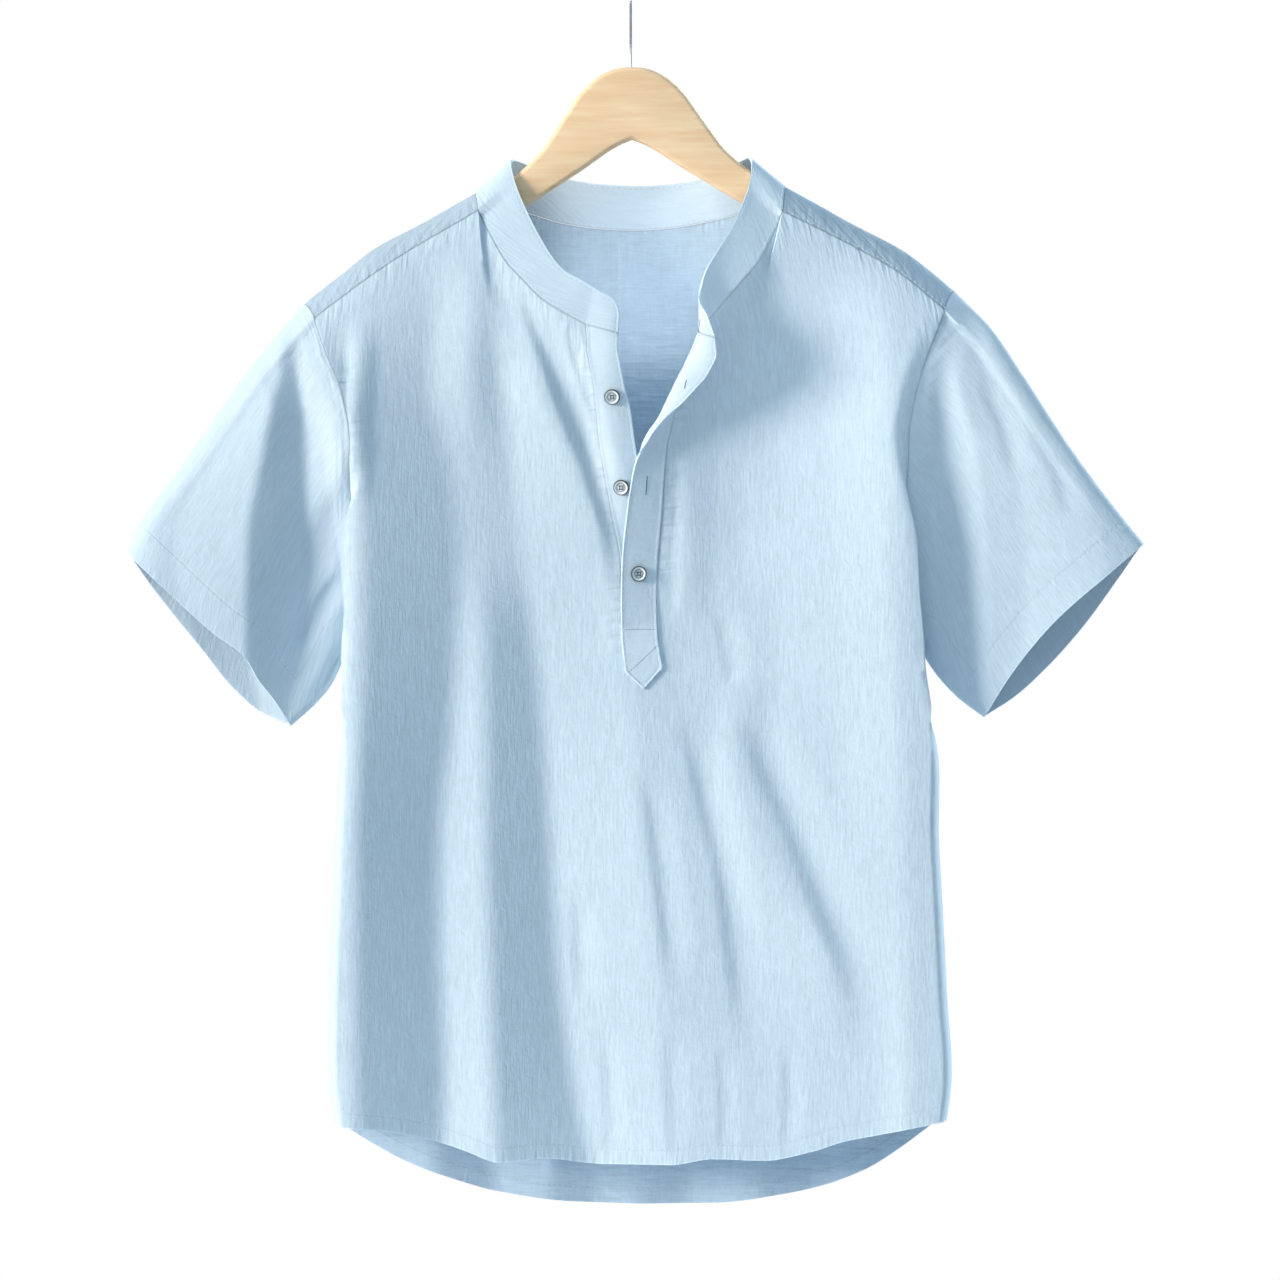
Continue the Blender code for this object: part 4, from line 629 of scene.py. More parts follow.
def sleeve_half(side, face, armhole):
    """Front or back of a sleeve: rows from the top fold down, columns out to the cuff."""
    cuff_curve = CUFF_FRONT[side] if face == "front" else CUFF_BACK[side]
    steps = np.linalg.norm(np.diff(armhole, axis=0), axis=1)
    round_the_arm = np.concatenate(([0], np.cumsum(steps))) / steps.sum()
    fullness = np.maximum(np.sin(np.pi * round_the_arm), 0) ** SLEEVE_FLATNESS[side]
    fullness[[0, -1]] = 0
    sign = -1 if face == "front" else 1
    places = along(cuff_curve, round_the_arm)
    cuff = np.column_stack((places[:, 0], sign * CUFF_DEPTH[face] * fullness, places[:, 1]))
    outward = np.linspace(0, 1, SLEEVE_COLUMNS + 1)
    top = along(SLEEVE_TOP[side], outward)
    under = along(SLEEVE_UNDER[side], outward)
    top = np.column_stack((top[:, 0], 0 * outward, top[:, 1]))
    under = np.column_stack((under[:, 0], armhole[-1, 1] * (1 - outward), under[:, 1]))
    top[0], under[0] = armhole[0], armhole[-1]
    points = coons(top, under, armhole, cuff, outward, round_the_arm)
    if (side, face) == ("right", "front"):
        over = np.arange(RIDGE_ROWS + 1) / RIDGE_ROWS
        pressed = points[RIDGE_ROWS, :, 1] * over[:, None] ** RIGHT_TOP_SHARPNESS
        change = pressed - points[:RIDGE_ROWS + 1, :, 1]
        points[:RIDGE_ROWS + 1, :, 1] += change * smooth(outward * 5)
    x, z = points[..., 0], points[..., 2]
    sink = fold_depth(SLEEVE_FOLDS[side], SLEEVE_FOLD_HEIGHTS, x, z, SLEEVE_ROUNDING)
    hold = np.minimum(1, 3 * fullness[:, None] ** 2) * smooth(outward * 6)[None, :]
    amount = 1 if face == "front" else BEHIND_SHARE
    creases = crease_depth(SLEEVE_CREASES[face][side], x, z)
    points[..., 1] -= sign * (amount * sink + creases) * hold * fullness[:, None]
    points[:, 0] = armhole
    return points


def sleeve_grids(side, front_edge, wrap_edge, back_edge):
    """Both faces of a sleeve, which share the body's points round the armhole."""
    forward = join(wrap_edge[RIDGE_ROWS:], front_edge[::-1])
    behind = join(wrap_edge[:RIDGE_ROWS + 1][::-1], back_edge[::-1])
    return sleeve_half(side, "front", forward), sleeve_half(side, "back", behind)


sleeve_left = sleeve_grids("left", upper_left[:, 0], wrap_left[:, 0], back_upper[:, 0])
sleeve_right = sleeve_grids("right", upper_right[:, -1], wrap_right[:, 0], back_upper[:, -1])


# ---------------------------------------------------------------------------
# Strips of the half placket, folded double and stitched along both edges. The
# under strip carries the two upper buttons. The over strip is buttoned flat
# below, and above its third button it is turned out like a small lapel.
PLACKET_COLUMNS = 18
TOWER_ROWS = 20
TOWER_CROWDING = 1.7     # rows of the point stand closer together near its tip
# Free edge of the under strip: z, x.
UNDER_FREE = [(-501, 11.5), (-440.4, 10.5), (-402, 9), (-380, 7.5), (-362.5, 4.9),
              (-347, 2.6), (-327.6, 0), (-311.3, -4.2), (-295.9, -7.2), (-279.5, -9.7),
              (-270.9, -9)]
# z, then x and how far the strip stands forward, at its middle and at its free edge.
OVER_STRIP = [
    (-501.0, 7.2, 1.3, -7.0, 1.5), (-492.0, 6.6, 1.5, -7.2, 1.9), (-484.0, 6.2, 2.8, -7.4, 4.2),
    (-470.7, 5.5, 3.0, -7.6, 4.6), (-440.4, 7.0, 3.2, -6.8, 5.2), (-406.4, 10.4, 3.6, -3.4, 5.8),
    (-380.6, 12.5, 4.0, 0.4, 7.0), (-364.7, 9.0, 4, 4.5, 10),
    (-354.1, 1.5, 6, 11.7, 12), (-344.3, 6.0, 9, 17.8, 14),
    (-333.7, 13.5, 11, 26.9, 17), (-323.9, 15.5, 14, 38.2, 20),
    (-313.3, 21.0, 17, 48.1, 23), (-301.9, 30.0, 23, 57.9, 27),
    (-284.5, 50.0, 29, 64.4, 31), (-271.0, 55.5, 32, 63.2, 34)]
TOWER_TIP = (10.0, -538.1)
TOWER_SHOULDERS = ((-4.2, -525.2), (24.4, -522.2))
TOWER_LIFT = 1.1         # the point lies this far off the front,
TOWER_EASE = 45.0        # and so does the seam of the strip, over this stretch above it
LEAN_FROM = -330.0       # above this the rows of the under strip lean to the band's end,
LEAN_EASE = 60.0         # and do so fully this much further up
LAPEL_FROM = -300.0      # above this the free edge of the over strip hangs lower,
LAPEL_EASE = 25.0        # in full this much further up,
LAPEL_DROP = 3.5         # by this much


def cosine_steps(count):
    """Places from 0 to 1, closer together at both ends, where an edge is rounded."""
    return (1 - np.cos(np.linspace(0, math.pi, count + 1))) / 2


def under_strip(seam):
    """Under strip: rows from the bottom, columns from the seam."""
    part = cosine_steps(PLACKET_COLUMNS)
    z_drop = UNDER_FREE[-1][0] - seam[-1, 2]
    rows = []
    for point in seam[1:]:
        level = point[2] + z_drop * smooth((point[2] - LEAN_FROM) / LEAN_EASE)
        free = by_height(UNDER_FREE, np.array(level))
        x = point[0] + (free - point[0]) * part
        z = point[2] + (level - point[2]) * part
        lift = front_y(point[0], point[2]) - point[1]
        rows.append(np.column_stack((x, front_y(x, z) - lift, z)))
    grid = np.array(rows)
    grid[:, 0] = seam[1:]
    return grid


def over_strip(seam):
    """Over strip and its point: rows from the bottom, columns from the left."""
    t = 1 - cosine_steps(PLACKET_COLUMNS)
    rows = []
    for point in seam:
        z = np.array(point[2])
        fold_x, fold_out, free_x, free_out = [by_height(OVER_STRIP, z, k) for k in (1, 2, 3, 4)]
        lift = TOWER_LIFT * smooth(1 - (z - UNDERARM) / TOWER_EASE)
        base = np.array((point[0], point[1] - lift))
        plane = front_y(point[0], point[2])
        fold = np.array((fold_x, plane - max(fold_out, lift)))
        free = np.array((free_x, plane - max(free_out, lift)))
        curve = ((1 - t)[:, None] ** 2 * base + (2 * t * (1 - t))[:, None] * fold
                 + (t ** 2)[:, None] * free)
        drop = LAPEL_DROP * t * smooth((z - LAPEL_FROM) / LAPEL_EASE)
        rows.append(np.column_stack((curve[:, 0], curve[:, 1], z - drop)))
    grid = np.array(rows)
    left, right = TOWER_SHOULDERS
    corners = np.array((left, TOWER_TIP, right), float)
    edge = np.column_stack([np.interp(1 - t, (0, 0.5, 1), corners[:, k]) for k in (0, 1)])
    tower = []
    for k in range(TOWER_ROWS, 0, -1):
        part = 1 - (1 - k / TOWER_ROWS) ** TOWER_CROWDING
        x = grid[0, :, 0] + (edge[:, 0] - grid[0, :, 0]) * part
        z = UNDERARM + (edge[:, 1] - UNDERARM) * part
        lift = (front_y(grid[0, :, 0], UNDERARM) - grid[0, :, 1]) * (1 - part) + TOWER_LIFT * part
        tower.append(np.column_stack((x, front_y(x, z) - lift, z)))
    return np.concatenate((np.array(tower), grid))


placket_under = under_strip(upper_left[:, -1])
placket_over = over_strip(upper_right[:, 0])


# ---------------------------------------------------------------------------
# Collar band, standing double cloth with an interfacing, from the end of the
# under strip round the neck to the end of the over strip, open at the front.
BAND_ROWS = 16
# Upper edge from the band's left end round to its right end: x, y, z.
BAND_TOP = [(-8.1, -36, -255.7), (-10.2, -35, -248.2), (-14.8, -34, -243.6),
            (-21, -33, -240.4), (-27, -31.5, -236.8), (-36, -30, -230.7), (-49.6, -27, -223.2),
            (-59.4, -24, -211.8), (-68.9, -20, -195.9), (-78.4, -16, -177),
            (-87.5, -10, -154), (-90.3, -2, -139), (-84, 12, -138), (-70, 20, -144),
            (-45.8, 26, -150.5), (0, 29, -155), (45.8, 26, -151.7), (70, 20, -144),
            (84, 12, -137.5), (90.5, -2, -137), (89.5, -10, -156), (84.4, -16, -170.9),
            (76.1, -22, -190.6), (64.3, -29, -209.5), (55.6, -35, -225.1),
            (52.8, -39, -234.5), (51.5, -43, -242.1), (53.0, -47, -249.5),
            (57.2, -50.5, -256.5)]
# Rows of that table which stand opposite a seam of the body.
BAND_STATIONS = (4, 10, 12, 18, 20, 26)
neck = EDGE_COLUMNS + SHOULDER_COLUMNS
neck_runs = [placket_under[-1][::-1], upper_left[-1][neck:][::-1], wrap_left[:, -1][::-1],
             back_top[neck:-neck], wrap_right[:, -1],
             upper_right[-1][:NECK_COLUMNS + 1][::-1], placket_over[-1][::-1]]
neck_ends = np.cumsum([0] + [len(run) - 1 for run in neck_runs])
band_seam = join(*neck_runs)
band_steps = np.linalg.norm(np.diff(band_seam, axis=0), axis=1)
band_run = np.concatenate(([0], np.cumsum(band_steps))) / band_steps.sum()
top_steps = np.linalg.norm(np.diff(np.array(BAND_TOP), axis=0), axis=1)
top_run = np.concatenate(([0], np.cumsum(top_steps))) / top_steps.sum()
band_top = along(BAND_TOP, np.interp(band_run,
                                     [0, *band_run[neck_ends[1:-1]], 1],
                                     [0, *top_run[list(BAND_STATIONS)], 1]))
rise = np.linspace(0, 1, BAND_ROWS + 1)[:, None, None]
collar_band = (band_seam + (band_top - band_seam) * rise)[:, ::-1]


# ---------------------------------------------------------------------------
# Sewing it together. Neighbouring pieces share their points along a seam. Each
# piece gets its own closed wall, drawn in a little at its edges so that every
# seam shows as a fine line, and is doubled where a hem is turned up.
MM = 0.001               # all sizes so far are in millimetres, meshes are in metres
CLOTH_WALL = 0.8
BAND_WALL = 1.5
PLACKET_WALL = 1.4
SEAM_GAP = 0.3
LONGEST_MITRE = 4        # at a sharp corner of a piece, in half gaps
BODY_HEM = 13.0
HEM_TOP = -800.0         # below this the body's free edges are its hem
HEM_STEP = 3.0           # the doubled cloth of a hem begins over this stretch
SLEEVE_HEM = 25.0
NECK_LEVEL = -300.0      # above this the body's seams are those of neck and shoulders
STRIP_ROLL = 0.45        # stitched edges of band and placket are a little thicker
EDGE_ROLL_WIDTH = 2.0
SHARP_CORNER = math.radians(50)
NO_EDGE = 999.0          # distance that stands for a kind of edge that a piece hasn't got


def runs(grid, axis):
    """Length along the rows (axis 1) or the columns (axis 0) of a grid, from its start."""
    steps = np.linalg.norm(np.diff(grid, axis=axis), axis=2)
    start = np.zeros_like(np.take(steps, [0], axis=axis))
    return np.concatenate((start, np.cumsum(steps, axis=axis)), axis=axis)


def panel_grain(grid, column):
    """Places on the flat cloth of a hanging panel: across from a column, and height."""
    across = runs(grid * (1, 1, 0), 1)
    across = across - across[:, [column]] + grid[:, [column], 0]
    return np.stack((across, grid[..., 2]), axis=-1)


def strip_grain(grid):
    """The same for a narrow piece whose warp runs along it."""
    return np.stack((runs(grid, 0), runs(grid, 1)), axis=-1)


middle_column = EDGE_COLUMNS + SHOULDER_COLUMNS + NECK_COLUMNS
lower_grid, back_lower_grid = front_lower[::-1], back_lower[::-1, ::-1]
back_upper_grid = back_upper[:, ::-1]
back_column = back_upper_grid.shape[1] // 2
back_grain = panel_grain(back_upper_grid, back_column)
wrap_grains = []
for wrap, top in ((wrap_left[:, ::-1], back_grain[-1][-neck - 1:]),
                  (wrap_right, back_grain[-1][:neck + 1])):
    wrap_grains.append(np.stack((np.tile(top[:, 0], (len(wrap), 1)),
                                 top[:, 1] + runs(wrap, 0)), axis=-1))
sleeves = {"sleeve_left": (sleeve_left[0], sleeve_left[1][:, ::-1]),
           "sleeve_right": (sleeve_right[0][:, ::-1], sleeve_right[1])}
pieces = {
    "front": [(lower_grid, panel_grain(lower_grid, middle_column)),
              (upper_left, panel_grain(upper_left, -1)), (upper_right, panel_grain(upper_right, 0))],
    "back": [(back_lower_grid, panel_grain(back_lower_grid, back_column)),
             (back_upper_grid, back_grain), (wrap_left[:, ::-1], wrap_grains[0]),
             (wrap_right, wrap_grains[1])],
    "collar_band": [(collar_band, strip_grain(collar_band))],
    "placket_under": [(placket_under, panel_grain(placket_under, 0))],
    "placket_over": [(placket_over, panel_grain(placket_over, -1))]}
for name, halves in sleeves.items():
    pieces[name] = [(half, np.stack((sign * runs(half, 0), runs(half, 1)), axis=-1))
                    for half, sign in zip(halves, (1, -1))]

flat_points = np.concatenate([grid.reshape(-1, 3) for grids in pieces.values() for grid, _ in grids])
points, number = np.unique(np.round(flat_points, 3) + 0.0, axis=0, return_inverse=True)
number = number.reshape(-1)
faces, grains = {}, {}
start = 0
for name, grids in pieces.items():
    faces[name], grains[name] = [], []
    for grid, grain in grids:
        index = number[start:start + grid[..., 0].size].reshape(grid.shape[:2])
        start += index.size
        for table, rows in ((faces, index), (grains, grain)):
            corners = (rows[:-1, :-1], rows[:-1, 1:], rows[1:, 1:], rows[1:, :-1])
            corners = np.stack(corners, axis=2)
            table[name].append(corners.reshape(-1, *corners.shape[2:]))
    faces[name] = np.concatenate(faces[name])
    grains[name] = np.concatenate(grains[name])

normals = np.zeros_like(points)
for quads in faces.values():
    a, b, c, d = (points[quads[:, k]] for k in range(4))
    for k in range(4):
        np.add.at(normals, quads[:, k], np.cross(c - a, d - b))
normals /= np.linalg.norm(normals, axis=1)[:, None]


def rim_edges(quads):
    """Edges that only one face of a piece uses, each as it runs round that face."""
    start, end = quads.ravel(), np.roll(quads, -1, axis=1).ravel()
    keep = start != end
    start, end = start[keep], end[keep]
    size = len(points)
    outer = ~np.isin(start * size + end, end * size + start)
    return np.column_stack((start[outer], end[outer]))


rims = {name: rim_edges(quads) for name, quads in faces.items()}
users = np.zeros(len(points), int)
for rim in rims.values():
    users[np.unique(rim)] += 1
ways = {}
for name, quads in faces.items():
    on_rim = np.unique(rims[name])
    way = np.zeros_like(points)
    middles = points[quads].mean(axis=1)
    for k in range(4):
        np.add.at(way, quads[:, k], middles - points[quads[:, k]])
    line = np.zeros_like(points)
    step = points[rims[name][:, 1]] - points[rims[name][:, 0]]
    step /= np.linalg.norm(step, axis=1)[:, None]
    for k in range(2):
        np.add.at(line, rims[name][:, k], step)
    way, line = way[on_rim], line[on_rim]
    length = np.linalg.norm(line, axis=1)[:, None]
    straight = line / np.maximum(length, 1e-6)
    way /= np.linalg.norm(way, axis=1)[:, None]
    way = np.where(length > 1.2, way - straight * np.sum(way * straight, axis=1)[:, None], way)
    ways[name] = dict(zip(on_rim.tolist(), way / np.linalg.norm(way, axis=1)[:, None]))


def draw_in(name):
    """The garment's points with those on this piece's rim moved in by half the seam gap."""
    moved = points.copy()
    for a, way in ways[name].items():
        others = [ways[other][a] for other in ways if other != name and a in ways[other]]
        closest = max([way @ other for other in others], default=-1)
        half_angle = math.acos(min(closest, 0.999)) / 2
        moved[a] += way * SEAM_GAP / 2 * min(1 / math.sin(half_angle), LONGEST_MITRE)
    return moved


def distances(marked, used):
    """Distance from each used point to the nearest of the marked ones."""
    if not len(marked):
        return np.full(len(used), NO_EDGE)
    tree = KDTree(len(marked))
    for k, a in enumerate(marked):
        tree.insert(points[a], k)
    tree.balance()
    return np.array([tree.find(points[a])[2] for a in used])


def cloth_piece(name, finish, wall, hem_width, hem_wall, edge_roll):
    """A closed wall of cloth from a piece's share of the garment's surface."""
    quads, rim = faces[name], rims[name]
    used, place = np.unique(quads, return_inverse=True)
    quads = place.reshape(quads.shape)
    rim = np.searchsorted(used, rim)
    on_rim = np.unique(rims[name])
    free = on_rim[users[on_rim] == 1]
    if name in ("front", "back"):
        free = free[points[free, 2] < HEM_TOP]
    sewn = on_rim[users[on_rim] > 1]
    neck_side = sewn[points[sewn, 2] > NECK_LEVEL] if name in ("front", "back") else sewn[:0]
    side = np.setdiff1d(sewn, neck_side)
    away = {"hem": distances(free, used), "side": distances(side, used),
            "top": distances(neck_side, used)}
    moved = draw_in(name)[used]
    in_hem = smooth((hem_width + HEM_STEP / 2 - away["hem"]) / HEM_STEP)
    inside = wall / 2 + hem_wall * in_hem
    to_edge = np.minimum(away["hem"], away["side"])
    rolled = edge_roll * np.sin(np.pi * np.clip(to_edge / EDGE_ROLL_WIDTH, 0, 1))
    outer = moved + normals[used] * (wall / 2 + rolled)[:, None]
    inner = moved - normals[used] * inside[:, None]
    count = len(used)
    rows = []
    for quad in quads.tolist():
        rows.append([a for k, a in enumerate(quad) if a != quad[k - 1]])
    polygons = rows + [[a + count for a in row[::-1]] for row in rows]
    polygons += [[b, a, a + count, b + count] for a, b in rim.tolist()]
    mesh = bpy.data.meshes.new(name)
    mesh.from_pydata((np.concatenate((outer, inner)) * MM).tolist(), [], polygons)
    weave = mesh.uv_layers.new(name="weave")
    spots = np.zeros((count, 2))
    spots[quads.reshape(-1)] = grains[name].reshape(-1, 2)
    values = []
    for row, quad, grain in zip(rows, quads.tolist(), grains[name]):
        values += [grain[k] for k, a in enumerate(quad) if a != quad[k - 1]]
    start = 0
    back = []
    for row in rows:
        back += values[start:start + len(row)][::-1]
        start += len(row)
    ends = [spots[a] for pair in rim.tolist() for a in (pair[1], pair[0], pair[0], pair[1])]
    weave.data.foreach_set("uv", np.concatenate((values, back, ends)).ravel() * MM)
    for key, value in away.items():
        layer = mesh.attributes.new(key, "FLOAT", "POINT")
        layer.data.foreach_set("value", np.concatenate((value, value)))
    mesh.shade_smooth()
    mesh.materials.append(finish)
    mesh.validate()
    shape = bmesh.new()
    shape.from_mesh(mesh)
    for edge in shape.edges:
        if len(edge.link_faces) == 2 and edge.calc_face_angle(0) > SHARP_CORNER:
            edge.smooth = False
    shape.to_mesh(mesh)
    shape.free()
    return placed(name, mesh)


def new_group(name, inputs, outputs):
    """Empty node group with the given input and output sockets."""
    group = bpy.data.node_groups.new(name, "ShaderNodeTree")
    for socket, kind, value in inputs:
        made_socket = group.interface.new_socket(socket, in_out="INPUT", socket_type=kind)
        made_socket.default_value = value
    for socket, kind in outputs:
        group.interface.new_socket(socket, in_out="OUTPUT", socket_type=kind)
    return group, group.nodes.new("NodeGroupInput"), group.nodes.new("NodeGroupOutput")


def made(tree, kind, inputs=(), **properties):
    """A node with its properties set and its inputs linked or given values."""
    node = tree.nodes.new(kind)
    for key, value in properties.items():
        setattr(node, key, value)
    for key, value in dict(inputs).items():
        if isinstance(value, bpy.types.NodeSocket):
            tree.links.new(value, node.inputs[key])
        else:
            node.inputs[key].default_value = value
    return node


def new_material(name, roughness):
    """A material with its node tree and its main shader."""
    finish = bpy.data.materials.new(name)
    finish.use_nodes = True
    shader = finish.node_tree.nodes["Principled BSDF"]
    shader.inputs["Roughness"].default_value = roughness
    return finish, finish.node_tree, shader


def maths(tree, operation, *values):
    """One calculation in a node tree; each value is a socket or a number."""
    return made(tree, "ShaderNodeMath", enumerate(values), operation=operation).outputs[0]


def streaks(tree, across, along_it, seed, detail, wobble):
    """Noise drawn out along one direction of the weave, sizes in millimetres."""
    place = made(tree, "ShaderNodeUVMap", uv_map="weave")
    stretch = (1000 / across, 1000 / along_it, 1)
    scaled = made(tree, "ShaderNodeVectorMath",
                  {0: place.outputs[0], 1: stretch, 2: (seed, seed * 1.7, 0)},
                  operation="MULTIPLY_ADD")
    return made(tree, "ShaderNodeTexNoise", {
        "Vector": scaled.outputs[0], "Scale": 1.0, "Detail": detail, "Distortion": wobble}).outputs[0]


def spread(tree, value, low, high):
    """Stretch low..high of a value to 0..1."""
    return made(tree, "ShaderNodeMapRange",
                {"Value": value, "From Min": low, "From Max": high}).outputs["Result"]


def near(tree, name, width):
    """1 at a marked edge of the piece, 0 beyond the width."""
    mark = made(tree, "ShaderNodeAttribute", attribute_name=name)
    step = made(tree, "ShaderNodeMapRange",
                {"Value": mark.outputs["Fac"], "From Min": width, "From Max": 0},
                interpolation_type="SMOOTHSTEP")
    return step.outputs["Result"]


def beside(tree, name, line, width):
    """1 along the line at this distance from a marked edge, 0 beyond the width."""
    mark = made(tree, "ShaderNodeAttribute", attribute_name=name)
    away = maths(tree, "ABSOLUTE", maths(tree, "SUBTRACT", mark.outputs["Fac"], line))
    inside = maths(tree, "SUBTRACT", 1.0, maths(tree, "DIVIDE", away, width))
    return maths(tree, "MAXIMUM", 0.0, inside)


# Slub weave: uneven thick threads in both directions, the puckers by the seams, and the
# dent along a row of topstitching, with painted shade along the seams and in the dent and a
# painted highlight along the rim of a hem.
SEAM_SHADE_WIDTH = 1.4          # painted seam shade: the colour is darkened this near to a seam,
RIM_HIGHLIGHT_WIDTH = 1.5          # a painted highlight this near to the edge of a hem,
DENT_WIDTH = 1.3         # and dented, with painted shade in the dent, this near to its stitches
PLAIN_SHADE = 0.94       # of the cloth's colour, before its threads are added
weave_group, group_in, group_out = new_group(
    "slub weave",
    (("Colour", "NodeSocketColor", (1, 1, 1, 1)), ("Weft", "NodeSocketFloat", 0.3),
     ("Pucker", "NodeSocketFloat", 1.0), ("Stitch line", "NodeSocketFloat", 12.0),
     ("Rim highlight", "NodeSocketFloat", 0.1), ("Threads", "NodeSocketFloat", 1.0),
     ("Crinkle", "NodeSocketFloat", 0.0)),
    (("Colour", "NodeSocketColor"), ("Normal", "NodeSocketVector")))
given = group_in.outputs
tree = weave_group
# Streaks along the warp, along the weft, broad bands and small blotches: size across and
# along in millimetres, seed, detail and wobble.
warp, weft, broad, mottle = [
    spread(tree, streaks(tree, *sizes), 0.3, 0.7)
    for sizes in ((1.7, 17, 3.1, 2.0, 0.5), (15, 1.5, 8.4, 2.0, 0.5), (6, 70, 5.7, 2.0, 0.8),
                  (5, 7, 11.3, 3.0, 1.0))]
warp_part = maths(tree, "MULTIPLY", warp, maths(tree, "SUBTRACT", 1.0, given["Weft"]))
weft_part = maths(tree, "MULTIPLY", weft, given["Weft"])
threads = maths(tree, "SUBTRACT", maths(tree, "ADD", warp_part, weft_part), 0.5)
threads = maths(tree, "MULTIPLY", threads, given["Threads"])
seam = maths(tree, "MAXIMUM", near(tree, "side", SEAM_SHADE_WIDTH), near(tree, "top", SEAM_SHADE_WIDTH))
dent = beside(tree, "hem", given["Stitch line"], DENT_WIDTH)
rim = maths(tree, "MULTIPLY", near(tree, "hem", RIM_HIGHLIGHT_WIDTH), given["Rim highlight"])
shade = PLAIN_SHADE
for value, amount in ((threads, 0.13), (broad, 0.035), (mottle, 0.05)):
    shade = maths(tree, "MULTIPLY_ADD", value, amount, shade)
# Painted shade: the colour is darkened along the seams and in the dent beside the stitches.
for value, amount in ((seam, -0.20), (dent, -0.05)):
    shade = maths(tree, "MULTIPLY", shade, maths(tree, "MULTIPLY_ADD", value, amount, 1.0))
# Painted highlight: the colour is made paler along the rolled rim of a hem.
shade = maths(tree, "MULTIPLY", shade, maths(tree, "ADD", rim, 1.0))
tone = made(tree, "ShaderNodeVectorMath", {0: given["Colour"], "Scale": shade}, operation="SCALE")
tree.links.new(tone.outputs[0], group_out.inputs["Colour"])
# Heights in metres. The puckers run upright from hems and from the seams of neck and
# shoulders, and level from the side seams and armholes.
upright = streaks(tree, 4.5, 26, 1.3, 1.0, 0.4)
level = streaks(tree, 30, 6, 2.9, 1.0, 0.4)
crinkle = maths(tree, "MULTIPLY", level, given["Crinkle"])
height = 0.0
for value, amount in ((threads, 0.0001), (mottle, 0.00011), (dent, -0.00014), (crinkle, 0.0012)):
    height = maths(tree, "MULTIPLY_ADD", value, amount, height)
for name, width, noise, amount in (("hem", 15, upright, 0.0006), ("side", 22, level, 0.0022),
                                   ("top", 20, upright, 0.0012)):
    pucker = maths(tree, "MULTIPLY", near(tree, name, width), noise)
    pucker = maths(tree, "MULTIPLY", maths(tree, "MULTIPLY", pucker, amount), given["Pucker"])
    height = maths(tree, "ADD", height, pucker)
bump = made(tree, "ShaderNodeBump", {"Height": height, "Distance": 1.0, "Strength": 1.0})
tree.links.new(bump.outputs[0], group_out.inputs["Normal"])


def cloth_material(name, weft, pucker, thin, stitch_line, rim, threads, crinkle):
    """Pale blue slub cloth that lets a little light through."""
    finish, tree, shader = new_material(name, 0.85)
    shader.inputs["Specular IOR Level"].default_value = 0.15
    shader.inputs["Sheen Weight"].default_value = 0.08
    weave = made(tree, "ShaderNodeGroup", {
        "Colour": CLOTH_COLOUR, "Weft": weft, "Pucker": pucker, "Stitch line": stitch_line,
        "Rim highlight": rim, "Threads": threads, "Crinkle": crinkle}, node_tree=weave_group)
    glow = tree.nodes.new("ShaderNodeBsdfTranslucent")
    mix = made(tree, "ShaderNodeMixShader",
               {"Fac": thin, 1: shader.outputs[0], 2: glow.outputs[0]})
    for shade in (shader.inputs["Base Color"], glow.inputs["Color"]):
        tree.links.new(weave.outputs["Colour"], shade)
    for bent in (shader.inputs["Normal"], glow.inputs["Normal"]):
        tree.links.new(weave.outputs["Normal"], bent)
    tree.links.new(mix.outputs[0], tree.nodes["Material Output"].inputs["Surface"])
    return finish


CLOTH_COLOUR = (0.64, 0.77, 0.87, 1)
BODY_STITCH = 11.5       # row of topstitching above the edge of the body's hem
SLEEVE_STITCH = 24.0
STRIP_STITCH = 2.2
# Each cloth: how much of the weft shows, puckers, light let through, row of stitches, painted
# highlight on the rim, strength of the threads and crinkle.
panel_cloth = cloth_material("shirt cloth", 0.12, 1.0, 0.12, BODY_STITCH, 0.20, 1.0, 0.0)
sleeve_cloth = cloth_material("shirt cloth of the sleeves", 0.12, 0.6, 0.12, SLEEVE_STITCH,
                              0.10, 0.8, 0.0)
back_cloth = cloth_material("shirt cloth of the back", 0.7, 1.0, 0.38, BODY_STITCH, 0.05, 1.0, 1.0)
strip_cloth = cloth_material("shirt cloth of band and placket", 0.5, 0.16, 0.06, STRIP_STITCH,
                             0.14, 0.4, 0.1)
# Each piece: material, wall, hem's width and extra wall, edge's roll, flat size, flat area,
# and what it hangs on.
CUTS = {
    "back": (back_cloth, CLOTH_WALL, BODY_HEM, 0.7, 0, (0.50, 0.80), 0.357, ["hanger"]),
    "front": (panel_cloth, CLOTH_WALL, BODY_HEM, 0.7, 0, (0.50, 0.74), 0.309, ["back"]),
    "sleeve_left": (sleeve_cloth, CLOTH_WALL, SLEEVE_HEM, 0.7, 0, (0.46, 0.22), 0.068,
                    ["back", "front"]),
    "sleeve_right": (sleeve_cloth, CLOTH_WALL, SLEEVE_HEM, 0.7, 0, (0.46, 0.22), 0.070,
                     ["back", "front"]),
    "collar_band": (strip_cloth, BAND_WALL, 0, 0, STRIP_ROLL, (0.44, 0.042), 0.0176,
                    ["back", "front"]),
    "placket_under": (strip_cloth, PLACKET_WALL, 0, 0, STRIP_ROLL, (0.034, 0.23), 0.0054,
                      ["front"]),
    "placket_over": (strip_cloth, PLACKET_WALL, 0, 0, STRIP_ROLL, (0.034, 0.27), 0.0075,
                     ["front"])}
for name, (finish, wall, hem_width, hem_wall, edge_roll, flat, area, rests_on) in CUTS.items():
    piece = cloth_piece(name, finish, wall, hem_width, hem_wall, edge_roll)
    piece.name = f"shirt_{name}"
    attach(piece, "root")
    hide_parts(name)


